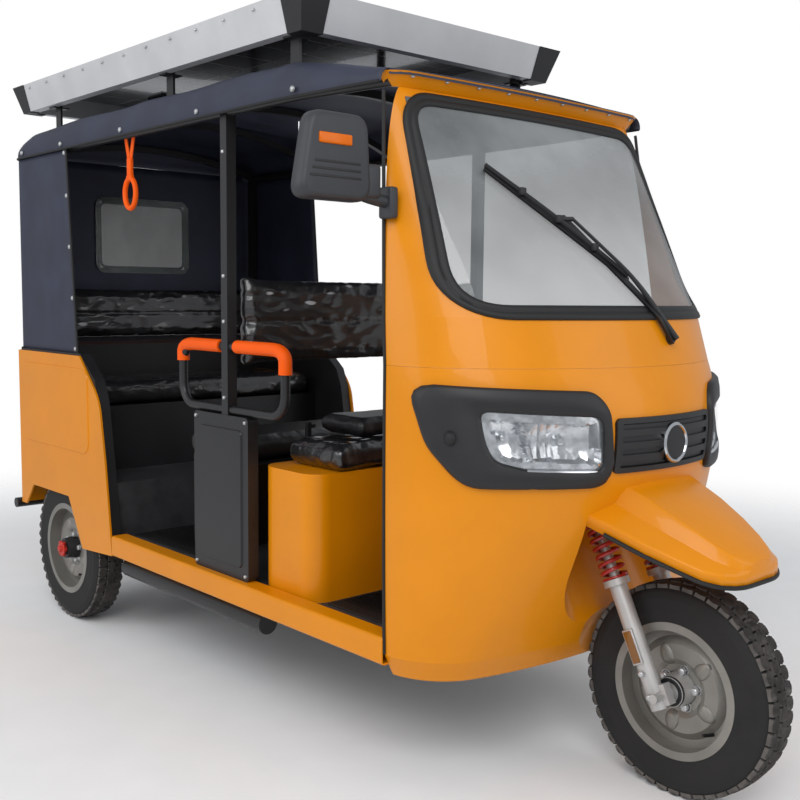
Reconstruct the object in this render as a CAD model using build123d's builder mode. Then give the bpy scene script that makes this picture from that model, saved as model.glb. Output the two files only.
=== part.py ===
"""Electric three-wheeled passenger carrier with a solar roof: millimetres, +X forward, +Y left, +Z up."""

import os
from collections import namedtuple
from math import cos, radians, sin, sqrt

from build123d import *

os.makedirs("parts", exist_ok=True)

# Driving sizes
wheelbase = 2280
track = 980
tyre_radius = 260
tyre_width = 104
rim_radius = 166
body_half = 556
sheet = 7
floor_top = 360
sill_top = 376
sill_bottom = 306
cab_rear = 757
cab_rear_top = 682
doorway_rear = -649
body_rear = -1405
mirror_reach = 809
bumper_half = 567
rake = 26

# Clearances
fit = 0.3
seat_gap = 0.5

# Sizes that follow
front_axle_x = 1500 - tyre_radius
rear_axle_x = front_axle_x - wheelbase
axle_z = tyre_radius
wall_inner = body_half - sheet
centre_y = (mirror_reach - bumper_half) / 2
steer = Plane(
    origin=(front_axle_x, 0, axle_z),
    x_dir=(cos(radians(rake)), 0, sin(radians(rake))),
    z_dir=(-sin(radians(rake)), 0, cos(radians(rake))),
)
front_view = Plane.YZ


def keep(piece, name):
    """Labels a finished piece, sets it in the frame and writes its file."""
    placed = piece.moved(Location((0, centre_y, 0)))
    placed.label = name
    export_step(placed, f"parts/{name}.step")


def keep_pair(piece, name):
    """Writes a right-hand piece and its mirror image on the left."""
    keep(piece, f"{name}_right")
    with BuildPart() as left:
        mirror(piece, about=Plane.XZ)
    keep(left.part, f"{name}_left")


def keep_both(piece, name):
    """Writes a right-hand piece and its mirror image as one piece."""
    with BuildPart() as both:
        add(piece)
        mirror(piece, about=Plane.XZ)
    keep(both.part, name)


def block(x, y, z, mode=Mode.ADD):
    """A box between two limits on each axis."""
    with Locations(((x[0] + x[1]) / 2, (y[0] + y[1]) / 2, (z[0] + z[1]) / 2)):
        Box(x[1] - x[0], y[1] - y[0], z[1] - z[0], mode=mode)


def tube(points, radius, bend):
    """A round tube along a bent line."""
    with BuildLine() as path:
        FilletPolyline(*points, radius=bend)
    with BuildSketch(Plane(origin=path.line @ 0, z_dir=path.line % 0)) as ring:
        Circle(radius)
    sweep(ring.sketch, path=path.line)


def bow(half, crown, crown_radius, corner_radius, foot):
    """The outline of an arch: straight sides, two corners and a flatter crown."""
    centre = crown - crown_radius
    rise = sqrt((crown_radius - corner_radius) ** 2 - (half - corner_radius) ** 2)
    turn = half - corner_radius
    reach = crown_radius / (crown_radius - corner_radius)
    shoulder = (turn * reach, centre + rise * reach)
    with BuildLine() as outline:
        Polyline((-half, centre + rise), (-half, foot), (half, foot), (half, centre + rise))
        TangentArc((half, centre + rise), shoulder, tangent=(0, 1))
        ThreePointArc(shoulder, (0, crown), (-shoulder[0], shoulder[1]))
        TangentArc((-half, centre + rise), (-shoulder[0], shoulder[1]), tangent=(0, 1))
    return outline.edges()


Bow = namedtuple("Bow", "at half crown crown_radius corner_radius")


def bow_form(rows, plane, foot, grow=0, ruled=True):
    """A loft through arched profiles, each set along the plane's own normal."""
    with BuildPart() as form:
        for row in rows:
            with BuildSketch(plane.offset(row.at)):
                edges = bow(
                    row.half + grow,
                    row.crown + grow,
                    row.crown_radius + grow,
                    row.corner_radius + grow,
                    foot,
                )
                make_face(edges)
        loft(ruled=ruled)
    return form.part


# Cab shell: plan sections from the rolled lower edge to the head of the screen
plan = Plane(origin=(0, 0, 0), x_dir=(0, -1, 0), z_dir=(0, 0, 1))
hem_rows = (Bow(278, 520, 962, 1475, 176), Bow(332, 546, 992, 1500, 202))
nose_rows = (
    Bow(332, 546, 992, 1500, 202),
    Bow(600, 551, 1110, 900, 260),
    Bow(850, 553, 1179, 700, 280),
    Bow(1035, 553, 1146, 700, 300),
)
scuttle_rows = (Bow(1035.5, 553, 1146, 700, 300), Bow(1150, 546, 1110, 700, 290))
screen_rows = (Bow(1150, 546, 1110, 700, 290), Bow(1700, 500, 703, 6000, 80))
cab_sheet = 6
cab_foot = 600


def nose_form(grow):
    """The closed shape of the lower cab shell, grown or shrunk in plan."""
    hem = bow_form(hem_rows, plan, cab_foot, grow)
    nose = bow_form(nose_rows, plan, cab_foot, grow, ruled=False)
    with BuildPart() as form:
        add(hem)
        add(nose)
    return form.part


def head_form(grow):
    """The closed shape of the upper cab shell, grown or shrunk in plan."""
    scuttle = bow_form(scuttle_rows, plan, cab_foot, grow)
    screen = bow_form(screen_rows, plan, cab_foot, grow)
    with BuildPart() as form:
        add(scuttle)
        add(screen)
    return form.part


nose_outer = nose_form(0)
nose_inner = nose_form(-cab_sheet)
nose_proud = nose_form(9)
head_outer = head_form(0)
head_inner = head_form(-cab_sheet)
head_proud = head_form(7)

# Front mudguard: arched sections along the beak
beak_view = Plane(origin=(0, 0, 0), x_dir=(0, 1, 0), z_dir=(1, 0, 0))
Beak = namedtuple("Beak", "x half low shoulder_half shoulder top")
beak_rows = (
    Beak(900, 262, 737, 235, 785, 895),
    Beak(1060, 236, 681, 202, 731, 812),
    Beak(1250, 196, 613, 160, 657, 722),
    Beak(1400, 146, 560, 110, 592, 636),
    Beak(1447, 72, 554, 54, 576, 604),
)


def beak_form(shrink, drop=0):
    """The closed shape of the front mudguard, shrunk for its inside."""
    tip_x = beak_rows[-1].x
    with BuildPart() as form:
        for row in beak_rows:
            shoulder = (row.shoulder_half - shrink, row.shoulder - shrink)
            with BuildSketch(beak_view.offset(row.x - (shrink if row.x == tip_x else 0))):
                with BuildLine():
                    Polyline(
                        (-shoulder[0], shoulder[1]),
                        (shrink - row.half, row.low - drop),
                        (row.half - shrink, row.low - drop),
                        shoulder,
                    )
                    ThreePointArc(shoulder, (0, row.top - shrink), (-shoulder[0], shoulder[1]))
                make_face()
        loft(ruled=True)
    return form.part


beak_outer = beak_form(0)
beak_inner = beak_form(5, drop=1)

# Front wheel well: a ball round the wheel, a raked channel for the fork and the hollow of the mudguard
well_radius = 277
channel_half = 224
channel_back = -150
lip_plane = Plane(origin=(1095, 0, 668), z_dir=(0.334, 0, 0.943))


def well_form(grow):
    """The space kept clear round the steered wheel and its fork."""
    hollow = beak_form(5 - grow, drop=30)
    with BuildPart() as channel:
        with BuildSketch(steer):
            with Locations((200 + channel_back / 2, 0)):
                RectangleRounded(400 - channel_back + 2 * grow, 2 * (channel_half + grow), 110)
        extrude(amount=700, both=True)
        split(bisect_by=lip_plane.offset(grow), keep=Keep.BOTTOM)
        split(bisect_by=steer.offset(-20), keep=Keep.TOP)
        with Locations((front_axle_x, 0, axle_z)):
            Sphere(well_radius + grow)
        add(hollow)
    return channel.part


well_space = well_form(0)
well_skin = well_form(3)

# Upper cab shell with the screen opening
screen_low = 1146
screen_high = 1690
screen_low_half = 506
screen_high_half = 458
rear_plane = Plane(origin=(cab_rear, 0, 1035), z_dir=(-665, 0, cab_rear_top - cab_rear))


def screen_cut(inset):
    """The screen outline seen from the front, pushed back through the shell."""
    with BuildPart() as cut:
        with BuildSketch(front_view.offset(640)):
            with BuildLine():
                Polyline(
                    (inset - screen_high_half, screen_high - inset),
                    (inset - screen_low_half, screen_low + inset),
                    (screen_low_half - inset, screen_low + inset),
                    (screen_high_half - inset, screen_high - inset),
                    close=True,
                )
            face = make_face()
            fillet(face.vertices().group_by(Axis.Y)[0], radius=110 - inset)
            fillet(face.vertices().group_by(Axis.Y)[-1], radius=40)
        extrude(amount=600)
    return cut.part


opening = screen_cut(14)
visor_rows = (Bow(1699, 500, 704, 6000, 80), Bow(1732, 516, 735, 6000, 96))
visor_outer = bow_form(visor_rows, plan, cab_foot)
visor_inner = bow_form(visor_rows, plan, cab_foot, -cab_sheet)
with BuildPart() as visor:
    add(visor_outer)
    add(visor_inner, mode=Mode.SUBTRACT)
    block((500, 665), (-600, 600), (1600, 1800), mode=Mode.SUBTRACT)
with BuildPart() as upper_cowl:
    add(head_outer)
    add(head_inner, mode=Mode.SUBTRACT)
    split(bisect_by=rear_plane, keep=Keep.BOTTOM)
    add(opening, mode=Mode.SUBTRACT)
    add(visor.part)
keep(upper_cowl.part, "upper_cowl")

# Screen seal and glass
seal_width = 32
seal_outer = screen_cut(0)
seal_hole = screen_cut(seal_width)
glass_outline = screen_cut(16)
glass_back = head_form(-5)
with BuildPart() as screen_seal:
    add(head_proud)
    add(head_outer, mode=Mode.SUBTRACT)
    add(seal_outer, mode=Mode.INTERSECT)
    add(seal_hole, mode=Mode.SUBTRACT)
keep(screen_seal.part, "screen_seal")

with BuildPart() as windscreen:
    add(head_outer)
    add(glass_back, mode=Mode.SUBTRACT)
    add(glass_outline, mode=Mode.INTERSECT)
keep(windscreen.part, "windscreen")

# Wiper lying on the glass
wiper_low = head_form(8)
wiper_high = head_form(17)
Strip = namedtuple("Strip", "start end width")
wiper_strips = (
    Strip((-299, 1507), (-24, 1242), 16),
    Strip((-134, 1395), (57, 1093), 20),
)
with BuildPart() as wiper_shadow:
    for strip in wiper_strips:
        with BuildSketch(front_view.offset(700)):
            with BuildLine() as stroke:
                Line(strip.start, strip.end)
            trace(stroke.line, line_width=strip.width)
        extrude(amount=500)
with BuildPart() as wiper:
    add(wiper_high)
    add(wiper_low, mode=Mode.SUBTRACT)
    add(wiper_shadow.part, mode=Mode.INTERSECT)
    with Locations(Plane(origin=(1110, 57, 1093), z_dir=(1, 0, 0.3))):
        Cylinder(14, 44)
    add(head_outer, mode=Mode.SUBTRACT)
keep(wiper.part, "wiper")

# Headlamps: bezel, bowl and lens following the shell
lamp_face = Plane(origin=(1000, -400, 0), x_dir=(0.62, 0.785, 0), z_dir=(0.785, -0.62, 0))
bezel_points = ((-214, 992), (219, 970), (262, 777), (60, 762), (-120, 790))
lens_points = ((-61, 936), (224, 917), (235, 804), (-15, 818))


def lamp_prism(points, inset, corner):
    """A lamp outline pushed through the shell along the lamp's own facing."""
    with BuildPart() as prism:
        with BuildSketch(lamp_face.offset(-80)):
            with BuildLine():
                Polyline(*points, close=True)
            face = make_face()
            fillet(face.vertices(), radius=corner)
            offset(amount=-inset, kind=Kind.INTERSECTION, mode=Mode.REPLACE)
        extrude(amount=260)
    return prism.part


bezel_prism = lamp_prism(bezel_points, 0, 24)
lens_prism = lamp_prism(lens_points, 0, 20)
lens_fit = lamp_prism(lens_points, seat_gap, 20)
lamp_hole = lamp_prism(lens_points, 6, 20)
bowl_outer = lamp_prism(lens_points, 6 + seat_gap, 20)
lens_out = nose_form(7)
bowl_back = nose_form(-62)
with BuildPart() as headlamp_bezel:
    add(nose_proud)
    add(nose_outer, mode=Mode.SUBTRACT)
    add(bezel_prism, mode=Mode.INTERSECT)
    add(lens_prism, mode=Mode.SUBTRACT)
keep_both(headlamp_bezel.part, "headlamp_bezels")

with BuildPart() as headlamp:
    add(lens_out)
    add(nose_outer, mode=Mode.SUBTRACT)
    add(lens_fit, mode=Mode.INTERSECT)
with BuildPart() as headlamp_body:
    add(nose_outer)
    add(bowl_back, mode=Mode.SUBTRACT)
    add(bowl_outer, mode=Mode.INTERSECT)
    add(headlamp.part)
keep_both(headlamp_body.part, "headlamps")

with BuildPart() as lower_cowl:
    add(nose_outer)
    add(nose_inner, mode=Mode.SUBTRACT)
    block((cab_foot - 10, cab_rear), (-600, 600), (200, 1100), mode=Mode.SUBTRACT)
    add(well_space, mode=Mode.SUBTRACT)
    add(lamp_hole, mode=Mode.SUBTRACT)
    mirror(lamp_hole, about=Plane.XZ, mode=Mode.SUBTRACT)
keep(lower_cowl.part, "lower_cowl")

# Grille
grille_half = 190
grille_low = 790
grille_high = 920
with BuildPart() as grille_prism:
    with BuildSketch(front_view.offset(1000)):
        with Locations((0, (grille_low + grille_high) / 2)):
            RectangleRounded(2 * grille_half, grille_high - grille_low, 14)
        with GridLocations(0, 30, 1, 4):
            with Locations((0, (grille_low + grille_high) / 2)):
                RectangleRounded(2 * grille_half - 30, 14, 6, mode=Mode.SUBTRACT)
    extrude(amount=300)
with BuildPart() as grille:
    add(lens_out)
    add(nose_outer, mode=Mode.SUBTRACT)
    add(grille_prism.part, mode=Mode.INTERSECT)
keep(grille.part, "grille")

# Mudguard, its edge and the wheel-well liner
with BuildPart() as front_mudguard:
    add(beak_outer)
    add(beak_inner, mode=Mode.SUBTRACT)
    add(nose_outer, mode=Mode.SUBTRACT)
keep(front_mudguard.part, "front_mudguard")

with BuildPart() as wheel_well:
    add(well_skin)
    add(well_space, mode=Mode.SUBTRACT)
    add(nose_inner, mode=Mode.INTERSECT)
    with Locations(steer.offset(600)):
        Cylinder(38, 300, mode=Mode.SUBTRACT)
keep(wheel_well.part, "wheel_well")

# Wheels: tyre, pressed rim and hub on each axle
Wheel = namedtuple("Wheel", "name x y outward hub_bore hub_reach")
wheels = (
    Wheel("front", front_axle_x, 0, -1, 11, 62),
    Wheel("rear_right", rear_axle_x, -track / 2, -1, 17, 58),
    Wheel("rear_left", rear_axle_x, track / 2, 1, 17, 58),
)
barrel_radius = 150
rim_half = 52
flange = 2.4
bead_radius = barrel_radius + fit
bead_half = rim_half - flange - fit
disc = ((barrel_radius - 4, 10), (126, 10), (108, 24), (72, 24), (58, 16), (44, 16))
for wheel in wheels:
    spin = Plane(
        origin=(wheel.x, wheel.y, axle_z), x_dir=(0, 0, 1), z_dir=(-wheel.outward, 0, 0)
    )
    axle = Axis((wheel.x, wheel.y, axle_z), (0, 1, 0))
    with BuildPart() as tyre:
        with BuildSketch(spin):
            with BuildLine():
                Line((bead_radius, -bead_half), (rim_radius + 1, -bead_half))
                ThreePointArc((rim_radius + 1, -bead_half), (205, -tyre_width / 2), (240, -48))
                Line((240, -48), (252, -40))
                ThreePointArc((252, -40), (tyre_radius, 0), (252, 40))
                Line((252, 40), (240, 48))
                ThreePointArc((240, 48), (205, tyre_width / 2), (rim_radius + 1, bead_half))
                Line((rim_radius + 1, bead_half), (bead_radius, bead_half))
                Line((bead_radius, bead_half), (bead_radius, 30))
                ThreePointArc((bead_radius, 30), (242, 0), (bead_radius, -30))
                Line((bead_radius, -30), (bead_radius, -bead_half))
            make_face()
        revolve(axis=axle)
    keep(tyre.part, f"tyre_{wheel.name}")

    with BuildPart() as rim:
        with BuildSketch(spin):
            with Locations((barrel_radius - 2, 0)):
                Rectangle(4, 2 * rim_half)
            with Locations((157, (rim_half - flange / 2)), (157, flange / 2 - rim_half)):
                Rectangle(2 * (rim_radius - 157), flange)
            with BuildLine():
                Polyline(
                    *disc,
                    *((radius, reach - 5) for radius, reach in reversed(disc)),
                    close=True,
                )
            make_face()
        revolve(axis=axle)
    keep(rim.part, f"rim_{wheel.name}")

    with BuildPart() as hub:
        with BuildSketch(spin):
            with BuildLine():
                Polyline(
                    (wheel.hub_bore, -40),
                    (60, -40),
                    (60, 10.5),
                    (42, 10.5),
                    (36, wheel.hub_reach),
                    (wheel.hub_bore, wheel.hub_reach),
                    close=True,
                )
            make_face()
        revolve(axis=axle)
    keep(hub.part, f"hub_{wheel.name}")

# Front fork: sliders, springs, clamp, stem and bars
leg_offset = -20
leg_y = 90
slider_top = 290
clamp_low = 486
clamp_high = 516
stem_top = 905
stem_radius = 24
with BuildPart() as fork:
    for side in (-1, 1):
        with Locations(steer):
            with Locations((leg_offset, side * leg_y, 130)):
                Cylinder(22, 2 * (slider_top - 130))
            with Locations((leg_offset, side * leg_y, slider_top - 8)):
                Cylinder(33, 16)
            with Locations((leg_offset, side * leg_y, (slider_top + clamp_low) / 2)):
                Cylinder(13, clamp_low - slider_top + 10)
            with Locations((leg_offset / 2, side * (leg_y - 6), 0)):
                Box(52, 26, 50)
    with Locations(steer):
        with Locations((-22, 0, (clamp_low + clamp_high) / 2)):
            Box(72, 2 * leg_y + 70, clamp_high - clamp_low)
        with Locations((0, 0, (clamp_high - 2 + stem_top) / 2)):
            Cylinder(stem_radius, stem_top - clamp_high + 2)
    with BuildSketch(Plane(origin=(front_axle_x, 0, axle_z), z_dir=(0, -1, 0))):
        Circle(10.7)
    extrude(amount=130, both=True)
keep(fork.part, "fork")

with BuildPart() as fork_springs:
    for side in (-1, 1):
        with Locations(steer):
            with Locations((leg_offset, side * leg_y, (slider_top + clamp_low) / 2)):
                Cylinder(34, clamp_low - slider_top - 1)
                Cylinder(22, clamp_low - slider_top + 20, mode=Mode.SUBTRACT)
keep(fork_springs.part, "fork_springs")

stem_head = steer.from_local_coords((0, 0, stem_top + 14))
bar_half = 320
with BuildPart() as handlebar:
    tube(
        (
            (stem_head.X - 130, -bar_half, stem_head.Z + 62),
            (stem_head.X - 60, -210, stem_head.Z + 62),
            (stem_head.X, -80, stem_head.Z),
            (stem_head.X, 80, stem_head.Z),
            (stem_head.X - 60, 210, stem_head.Z + 62),
            (stem_head.X - 130, bar_half, stem_head.Z + 62),
        ),
        11,
        30,
    )
    with Locations(steer.offset(stem_top + 8)):
        Box(44, 70, 15.6)
keep(handlebar.part, "handlebar")

# Chassis: kicked-up rails, cross members, head tube and its stays
rail_y = 300
rail_half = 22
rail_z = 312
rail_high = 470
rail_front = 790
head_low = 700
head_high = 850
with BuildPart() as chassis:
    for side in (-1, 1):
        with BuildSketch(Plane.XZ.offset(-side * rail_y)):
            with BuildLine() as rail_line:
                FilletPolyline(
                    (rail_front, rail_z), (-735, rail_z), (-870, rail_high), (-1385, rail_high), radius=60
                )
            trace(rail_line.line, line_width=64)
        extrude(amount=rail_half, both=True)
        tube(
            (
                (rail_front - 40, side * rail_y, rail_z + 10),
                (780, side * 235, 760),
                steer.from_local_coords((-18, side * 10, 805)),
            ),
            16,
            60,
        )
    for cross_x, half in ((rail_front - 30, 480), (300, 520), (-140, 520), (-560, 520)):
        block((cross_x - 22, cross_x + 22), (-half, half), (rail_z - 20, rail_z + 20))
    for cross_x in (-890, -1360):
        block((cross_x - 22, cross_x + 22), (-rail_y, rail_y), (rail_high - 20, rail_high + 20))
    with Locations(steer.offset((head_low + head_high) / 2)):
        Cylinder(32, head_high - head_low)
        Cylinder(stem_radius + fit, head_high - head_low + 60, mode=Mode.SUBTRACT)
keep(chassis.part, "chassis")

# Rear axle, motor and leaf springs
with BuildPart() as rear_axle:
    with Locations((rear_axle_x, 0, axle_z)):
        with Locations(Rotation(90, 0, 0)):
            Cylinder(34, track - 2 * 75)
            Cylinder(16.6, track + 70)
        Sphere(112)
    with Locations((rear_axle_x, 0, axle_z)):
        for side in (-1, 1):
            with Locations(Pos(0, side * (track / 2 - 66), 0) * Rotation(90, 0, 0)):
                Cylinder(105, 16)
    with Locations(Pos(rear_axle_x + 190, 0, axle_z + 10) * Rotation(0, 90, 0)):
        Cylinder(92, 260)
keep(rear_axle.part, "rear_axle")

leaf_half = 25
leaf_y = rail_y + rail_half + seat_gap + leaf_half
with BuildPart() as leaf_springs:
    for side in (-1, 1):
        with BuildSketch(Plane.XZ.offset(-side * leaf_y)):
            with BuildLine() as leaf_line:
                ThreePointArc((-1345, 390), (rear_axle_x, axle_z + 34 + 12), (-735, 390))
            trace(leaf_line.line, line_width=26)
        extrude(amount=leaf_half, both=True)
        for eye_x, foot, head in ((-1343, 385, 480), (-737, 300, 405)):
            eye_y = side * leaf_y
            block((eye_x - 14, eye_x + 14), (eye_y - leaf_half, eye_y + leaf_half), (foot, head))
    add(chassis.part, mode=Mode.SUBTRACT)
    add(rear_axle.part, mode=Mode.SUBTRACT)
keep(leaf_springs.part, "leaf_springs")

# Floor, sills, step bars and raised rear deck
deck_top = 545
deck_front = -700
floor_sheet = 5
cab_floor = nose_form(-cab_sheet - seat_gap)
with BuildPart() as floor_front:
    block((cab_rear, 1000), (-600, 600), (floor_top - floor_sheet, floor_top))
    add(cab_floor, mode=Mode.INTERSECT)
    add(well_skin, mode=Mode.SUBTRACT)
with BuildPart() as floor_pan:
    add(floor_front.part)
    block((deck_front, cab_rear + 1), (-498, 498), (floor_top - floor_sheet, floor_top))
    add(chassis.part, mode=Mode.SUBTRACT)
keep(floor_pan.part, "floor_pan")

with BuildPart() as sill:
    block((doorway_rear, cab_rear - seat_gap), (-body_half, -500), (sill_bottom, sill_top))
    fillet(sill.edges().filter_by(Axis.X).group_by(Axis.Y)[0], radius=10)
    block(
        (doorway_rear - 1, cab_rear),
        (-body_half + 4, -505),
        (sill_bottom + 5, sill_top - 5),
        mode=Mode.SUBTRACT,
    )
    add(chassis.part, mode=Mode.SUBTRACT)
keep_pair(sill.part, "sill")

step_bar_front = 190
step_bar_rear = -640
with BuildPart() as step_bar:
    with Locations(Pos((step_bar_front + step_bar_rear) / 2, -494, 262) * Rotation(0, 90, 0)):
        Cylinder(32, step_bar_front - step_bar_rear)
    add(chassis.part, mode=Mode.SUBTRACT)
keep_both(step_bar.part, "step_bars")

with BuildPart() as rear_deck:
    block((deck_front - floor_sheet, deck_front), (-wall_inner, wall_inner), (floor_top - 5, deck_top))
    block((body_rear + sheet, deck_front), (-wall_inner, wall_inner), (deck_top - floor_sheet, deck_top))
    add(chassis.part, mode=Mode.SUBTRACT)
keep(rear_deck.part, "rear_deck")

# Rear side walls with the wheel arch
wall_top = 978
plate_z = 560
plate_spacing = 150
plate_hole = 3.3
with BuildPart() as rear_side:
    with BuildSketch(Plane.XZ.offset(wall_inner)):
        with BuildLine():
            Polyline(
                (doorway_rear - seat_gap, sill_bottom),
                (-690, 620),
                (-728, 834),
                (-874, wall_top),
                (body_rear, wall_top),
                (body_rear, 380),
                (-1364, 380),
                (-1292, 464),
                (-982, 464),
                (-875, 290),
                close=True,
            )
        face = make_face()
        fillet(face.vertices().sort_by_distance((-728, 834))[0], radius=160)
        fillet(face.vertices().sort_by_distance((-1292, 464))[0:2], radius=40)
    extrude(amount=sheet)
    with BuildSketch(Plane.XZ.offset(body_half)):
        with Locations((-1090, 785)):
            RectangleRounded(560, 300, 40)
    extrude(amount=3, taper=30)
    block((-1380, -900), (-wall_inner, -520), (wall_top - 30, wall_top))
keep_pair(rear_side.part, "rear_side")

with BuildPart() as tail_panel:
    block((body_rear, body_rear + sheet), (-wall_inner, wall_inner), (380, wall_top))
    with Locations(Plane(origin=(body_rear, 0, plate_z), x_dir=(0, 1, 0), z_dir=(-1, 0, 0))):
        with GridLocations(plate_spacing, 0, 2, 1):
            Hole(plate_hole)
keep(tail_panel.part, "tail_panel")

with BuildPart() as tail_lamp:
    block((body_rear - 28, body_rear), (-535, -425), (640, 790))
    fillet(tail_lamp.edges().group_by(Axis.X)[0], radius=10)
keep_both(tail_lamp.part, "tail_lamps")

with BuildPart() as rear_bumper:
    with Locations(Pos(-1440, 0, 372) * Rotation(90, 0, 0)):
        Cylinder(19, 2 * bumper_half)
    for side in (-1, 1):
        block((-1440, body_rear), (side * 330 - 20, side * 330 + 20), (362, 382))
        block((body_rear - 8, body_rear), (side * 330 - 20, side * 330 + 20), (362, 420))
keep(rear_bumper.part, "rear_bumper")

# Passenger bench, backrests and driver's seat
bench_top = 785
seat_top = 715.5
with BuildPart() as bench_base:
    block((-965, -960), (-540, 540), (deck_top, bench_top))
    block((body_rear + sheet, -960), (-540, 540), (bench_top - 5, bench_top))
keep(bench_base.part, "bench_base")

Pad = namedtuple("Pad", "name x y z")
pads = (
    Pad("rear_cushion", (-1330, -930), (-525, 525), (bench_top, 880)),
    Pad("rear_backrest", (-1397, -1340), (-500.7, 500.7), (1000, 1238)),
    Pad("mid_cushion", (-330, 0), (-470, 470), (690, 770)),
    Pad("mid_backrest", (0, 58), (-495.5, 495.5), (978, 1262)),
    Pad("driver_cushion", (165, 430), (-440, 440), (seat_top, 792)),
)
for pad in pads:
    with BuildPart() as cushion:
        block(pad.x, pad.y, pad.z)
        fillet(cushion.edges(), radius=18)
    keep(cushion.part, pad.name)

with BuildPart() as driver_base:
    with BuildSketch(Plane.XY.offset(floor_top)):
        with Locations((270, 0)):
            RectangleRounded(250, 980, 60)
            RectangleRounded(242, 972, 56, mode=Mode.SUBTRACT)
    extrude(amount=351)
    with BuildSketch(Plane.XY.offset(floor_top + 351)):
        with Locations((270, 0)):
            RectangleRounded(250, 980, 60)
    extrude(amount=4.5)
keep(driver_base.part, "driver_base")

with BuildPart() as battery:
    block((165, 375), (-420, 420), (floor_top, 680))
keep(battery.part, "battery")

with BuildPart() as mid_bench:
    block((-300, -296), (-440, 440), (floor_top, 690))
    block((-300, 10), (-440, 440), (686, 690))
keep(mid_bench.part, "mid_bench")

hinge_x = 155
hinge_z = 815
with BuildPart() as driver_back:
    block((hinge_x + 16, 372), (-300, 300), (797.5, 852))
    fillet(driver_back.edges(), radius=16)
    for side in (-1, 1):
        block((hinge_x - 8, hinge_x + 120), (side * 308 - 4, side * 308 + 4), (hinge_z - 9, hinge_z + 9))
        block((hinge_x + 100, hinge_x + 120), (side * 300 - 12, side * 300 + 12), (hinge_z - 9, hinge_z + 9))
    with Locations(Pos(hinge_x, 0, hinge_z) * Rotation(90, 0, 0)):
        Cylinder(6.3, 700, mode=Mode.SUBTRACT)
keep(driver_back.part, "driver_back")

with BuildPart() as back_brackets:
    for side in (-1, 1):
        block((hinge_x - 8, hinge_x + 8), (side * 326 - 6, side * 326 + 6), (seat_top, hinge_z + 12))
        with Locations(Pos(hinge_x, side * 318, hinge_z) * Rotation(90, 0, 0)):
            Cylinder(6, 30)
keep(back_brackets.part, "back_brackets")

# Side partition boards, rails and posts
with BuildPart() as side_board:
    block((-145, 144), (-530, -495), (sill_top, 850))
    fillet(side_board.edges().filter_by(Axis.Y), radius=14)
    with BuildSketch(Plane.XZ.offset(530)):
        with Locations((0, 612)):
            RectangleRounded(225, 400, 14)
    extrude(amount=4, taper=30)
keep_both(side_board.part, "side_boards")

rail_low = 864
rail_top = 1048
with BuildPart() as grab_rail:
    with BuildLine(Plane.XZ.offset(512)) as loop:
        FilletPolyline(
            (-235, rail_low), (-235, rail_top), (300, rail_top), (300, rail_low), radius=62, close=True
        )
    with BuildSketch(Plane(origin=loop.line @ 0, z_dir=loop.line % 0)):
        Circle(13)
    sweep()
keep_both(grab_rail.part, "grab_rails")

with BuildPart() as grip:
    for x0, x1 in ((-165, -15), (65, 225)):
        with Locations(Pos((x0 + x1) / 2, -512, rail_top) * Rotation(0, 90, 0)):
            Cylinder(19, x1 - x0)
            Cylinder(13 + fit, x1 - x0, mode=Mode.SUBTRACT)
keep_both(grip.part, "grips")

post_x = 22
roof_rail_z = 1712
with BuildPart() as roof_frame:
    for side in (-1, 1):
        block((post_x - 16, post_x + 16), (side * 512 - 16, side * 512 + 16), (850, roof_rail_z))
        tube(
            (
                (-1385, side * 515, roof_rail_z),
                (380, side * 515, roof_rail_z),
                (675, side * 470, roof_rail_z),
            ),
            14,
            60,
        )
        with Locations((-1385, side * 515, 1345)):
            Box(28, 28, 734)
    for bow_x, bow_crown in ((-1374, 1788), (-900, 1829), (-420, 1829), (post_x, 1829), (400, 1800)):
        with BuildSketch(Plane.YZ.offset(bow_x)):
            with BuildLine() as bow_line:
                ThreePointArc((-515, roof_rail_z), (0, bow_crown), (515, roof_rail_z))
            trace(bow_line.line, line_width=22)
        extrude(amount=11, both=True)
    add(grab_rail.part, mode=Mode.SUBTRACT)
    mirror(grab_rail.part, about=Plane.XZ, mode=Mode.SUBTRACT)
    add(upper_cowl.part, mode=Mode.SUBTRACT)
keep(roof_frame.part, "roof_frame")

# Canopy: roof with its valance, and the wrap-round rear
canopy_edge = 1703
canopy_rows = (
    Bow(-1442, 545, 1722, 20000, 10),
    Bow(-1405, 545, 1800, 4000, 60),
    Bow(-1330, 545, 1832, 4000, 90),
    Bow(-1105, 545, 1845, 4000, 90),
    Bow(300, 545, 1845, 4000, 90),
    Bow(690, 516, 1752, 8000, 30),
)
across = Plane(origin=(0, 0, 0), x_dir=(0, 1, 0), z_dir=(1, 0, 0))
canopy_sheet = 4
canopy_outer = bow_form(canopy_rows, across, canopy_edge)
hollow_rows = tuple(
    row._replace(at=row.at + (canopy_sheet if row.at < -1400 else 0) + (1 if row.at > 600 else 0))
    for row in canopy_rows
)
canopy_inner = bow_form(hollow_rows, across, canopy_edge - 10, -canopy_sheet)
with BuildPart() as canopy_roof:
    add(canopy_outer)
    add(canopy_inner, mode=Mode.SUBTRACT)
    add(upper_cowl.part, mode=Mode.SUBTRACT)
keep(canopy_roof.part, "canopy_roof")

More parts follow.
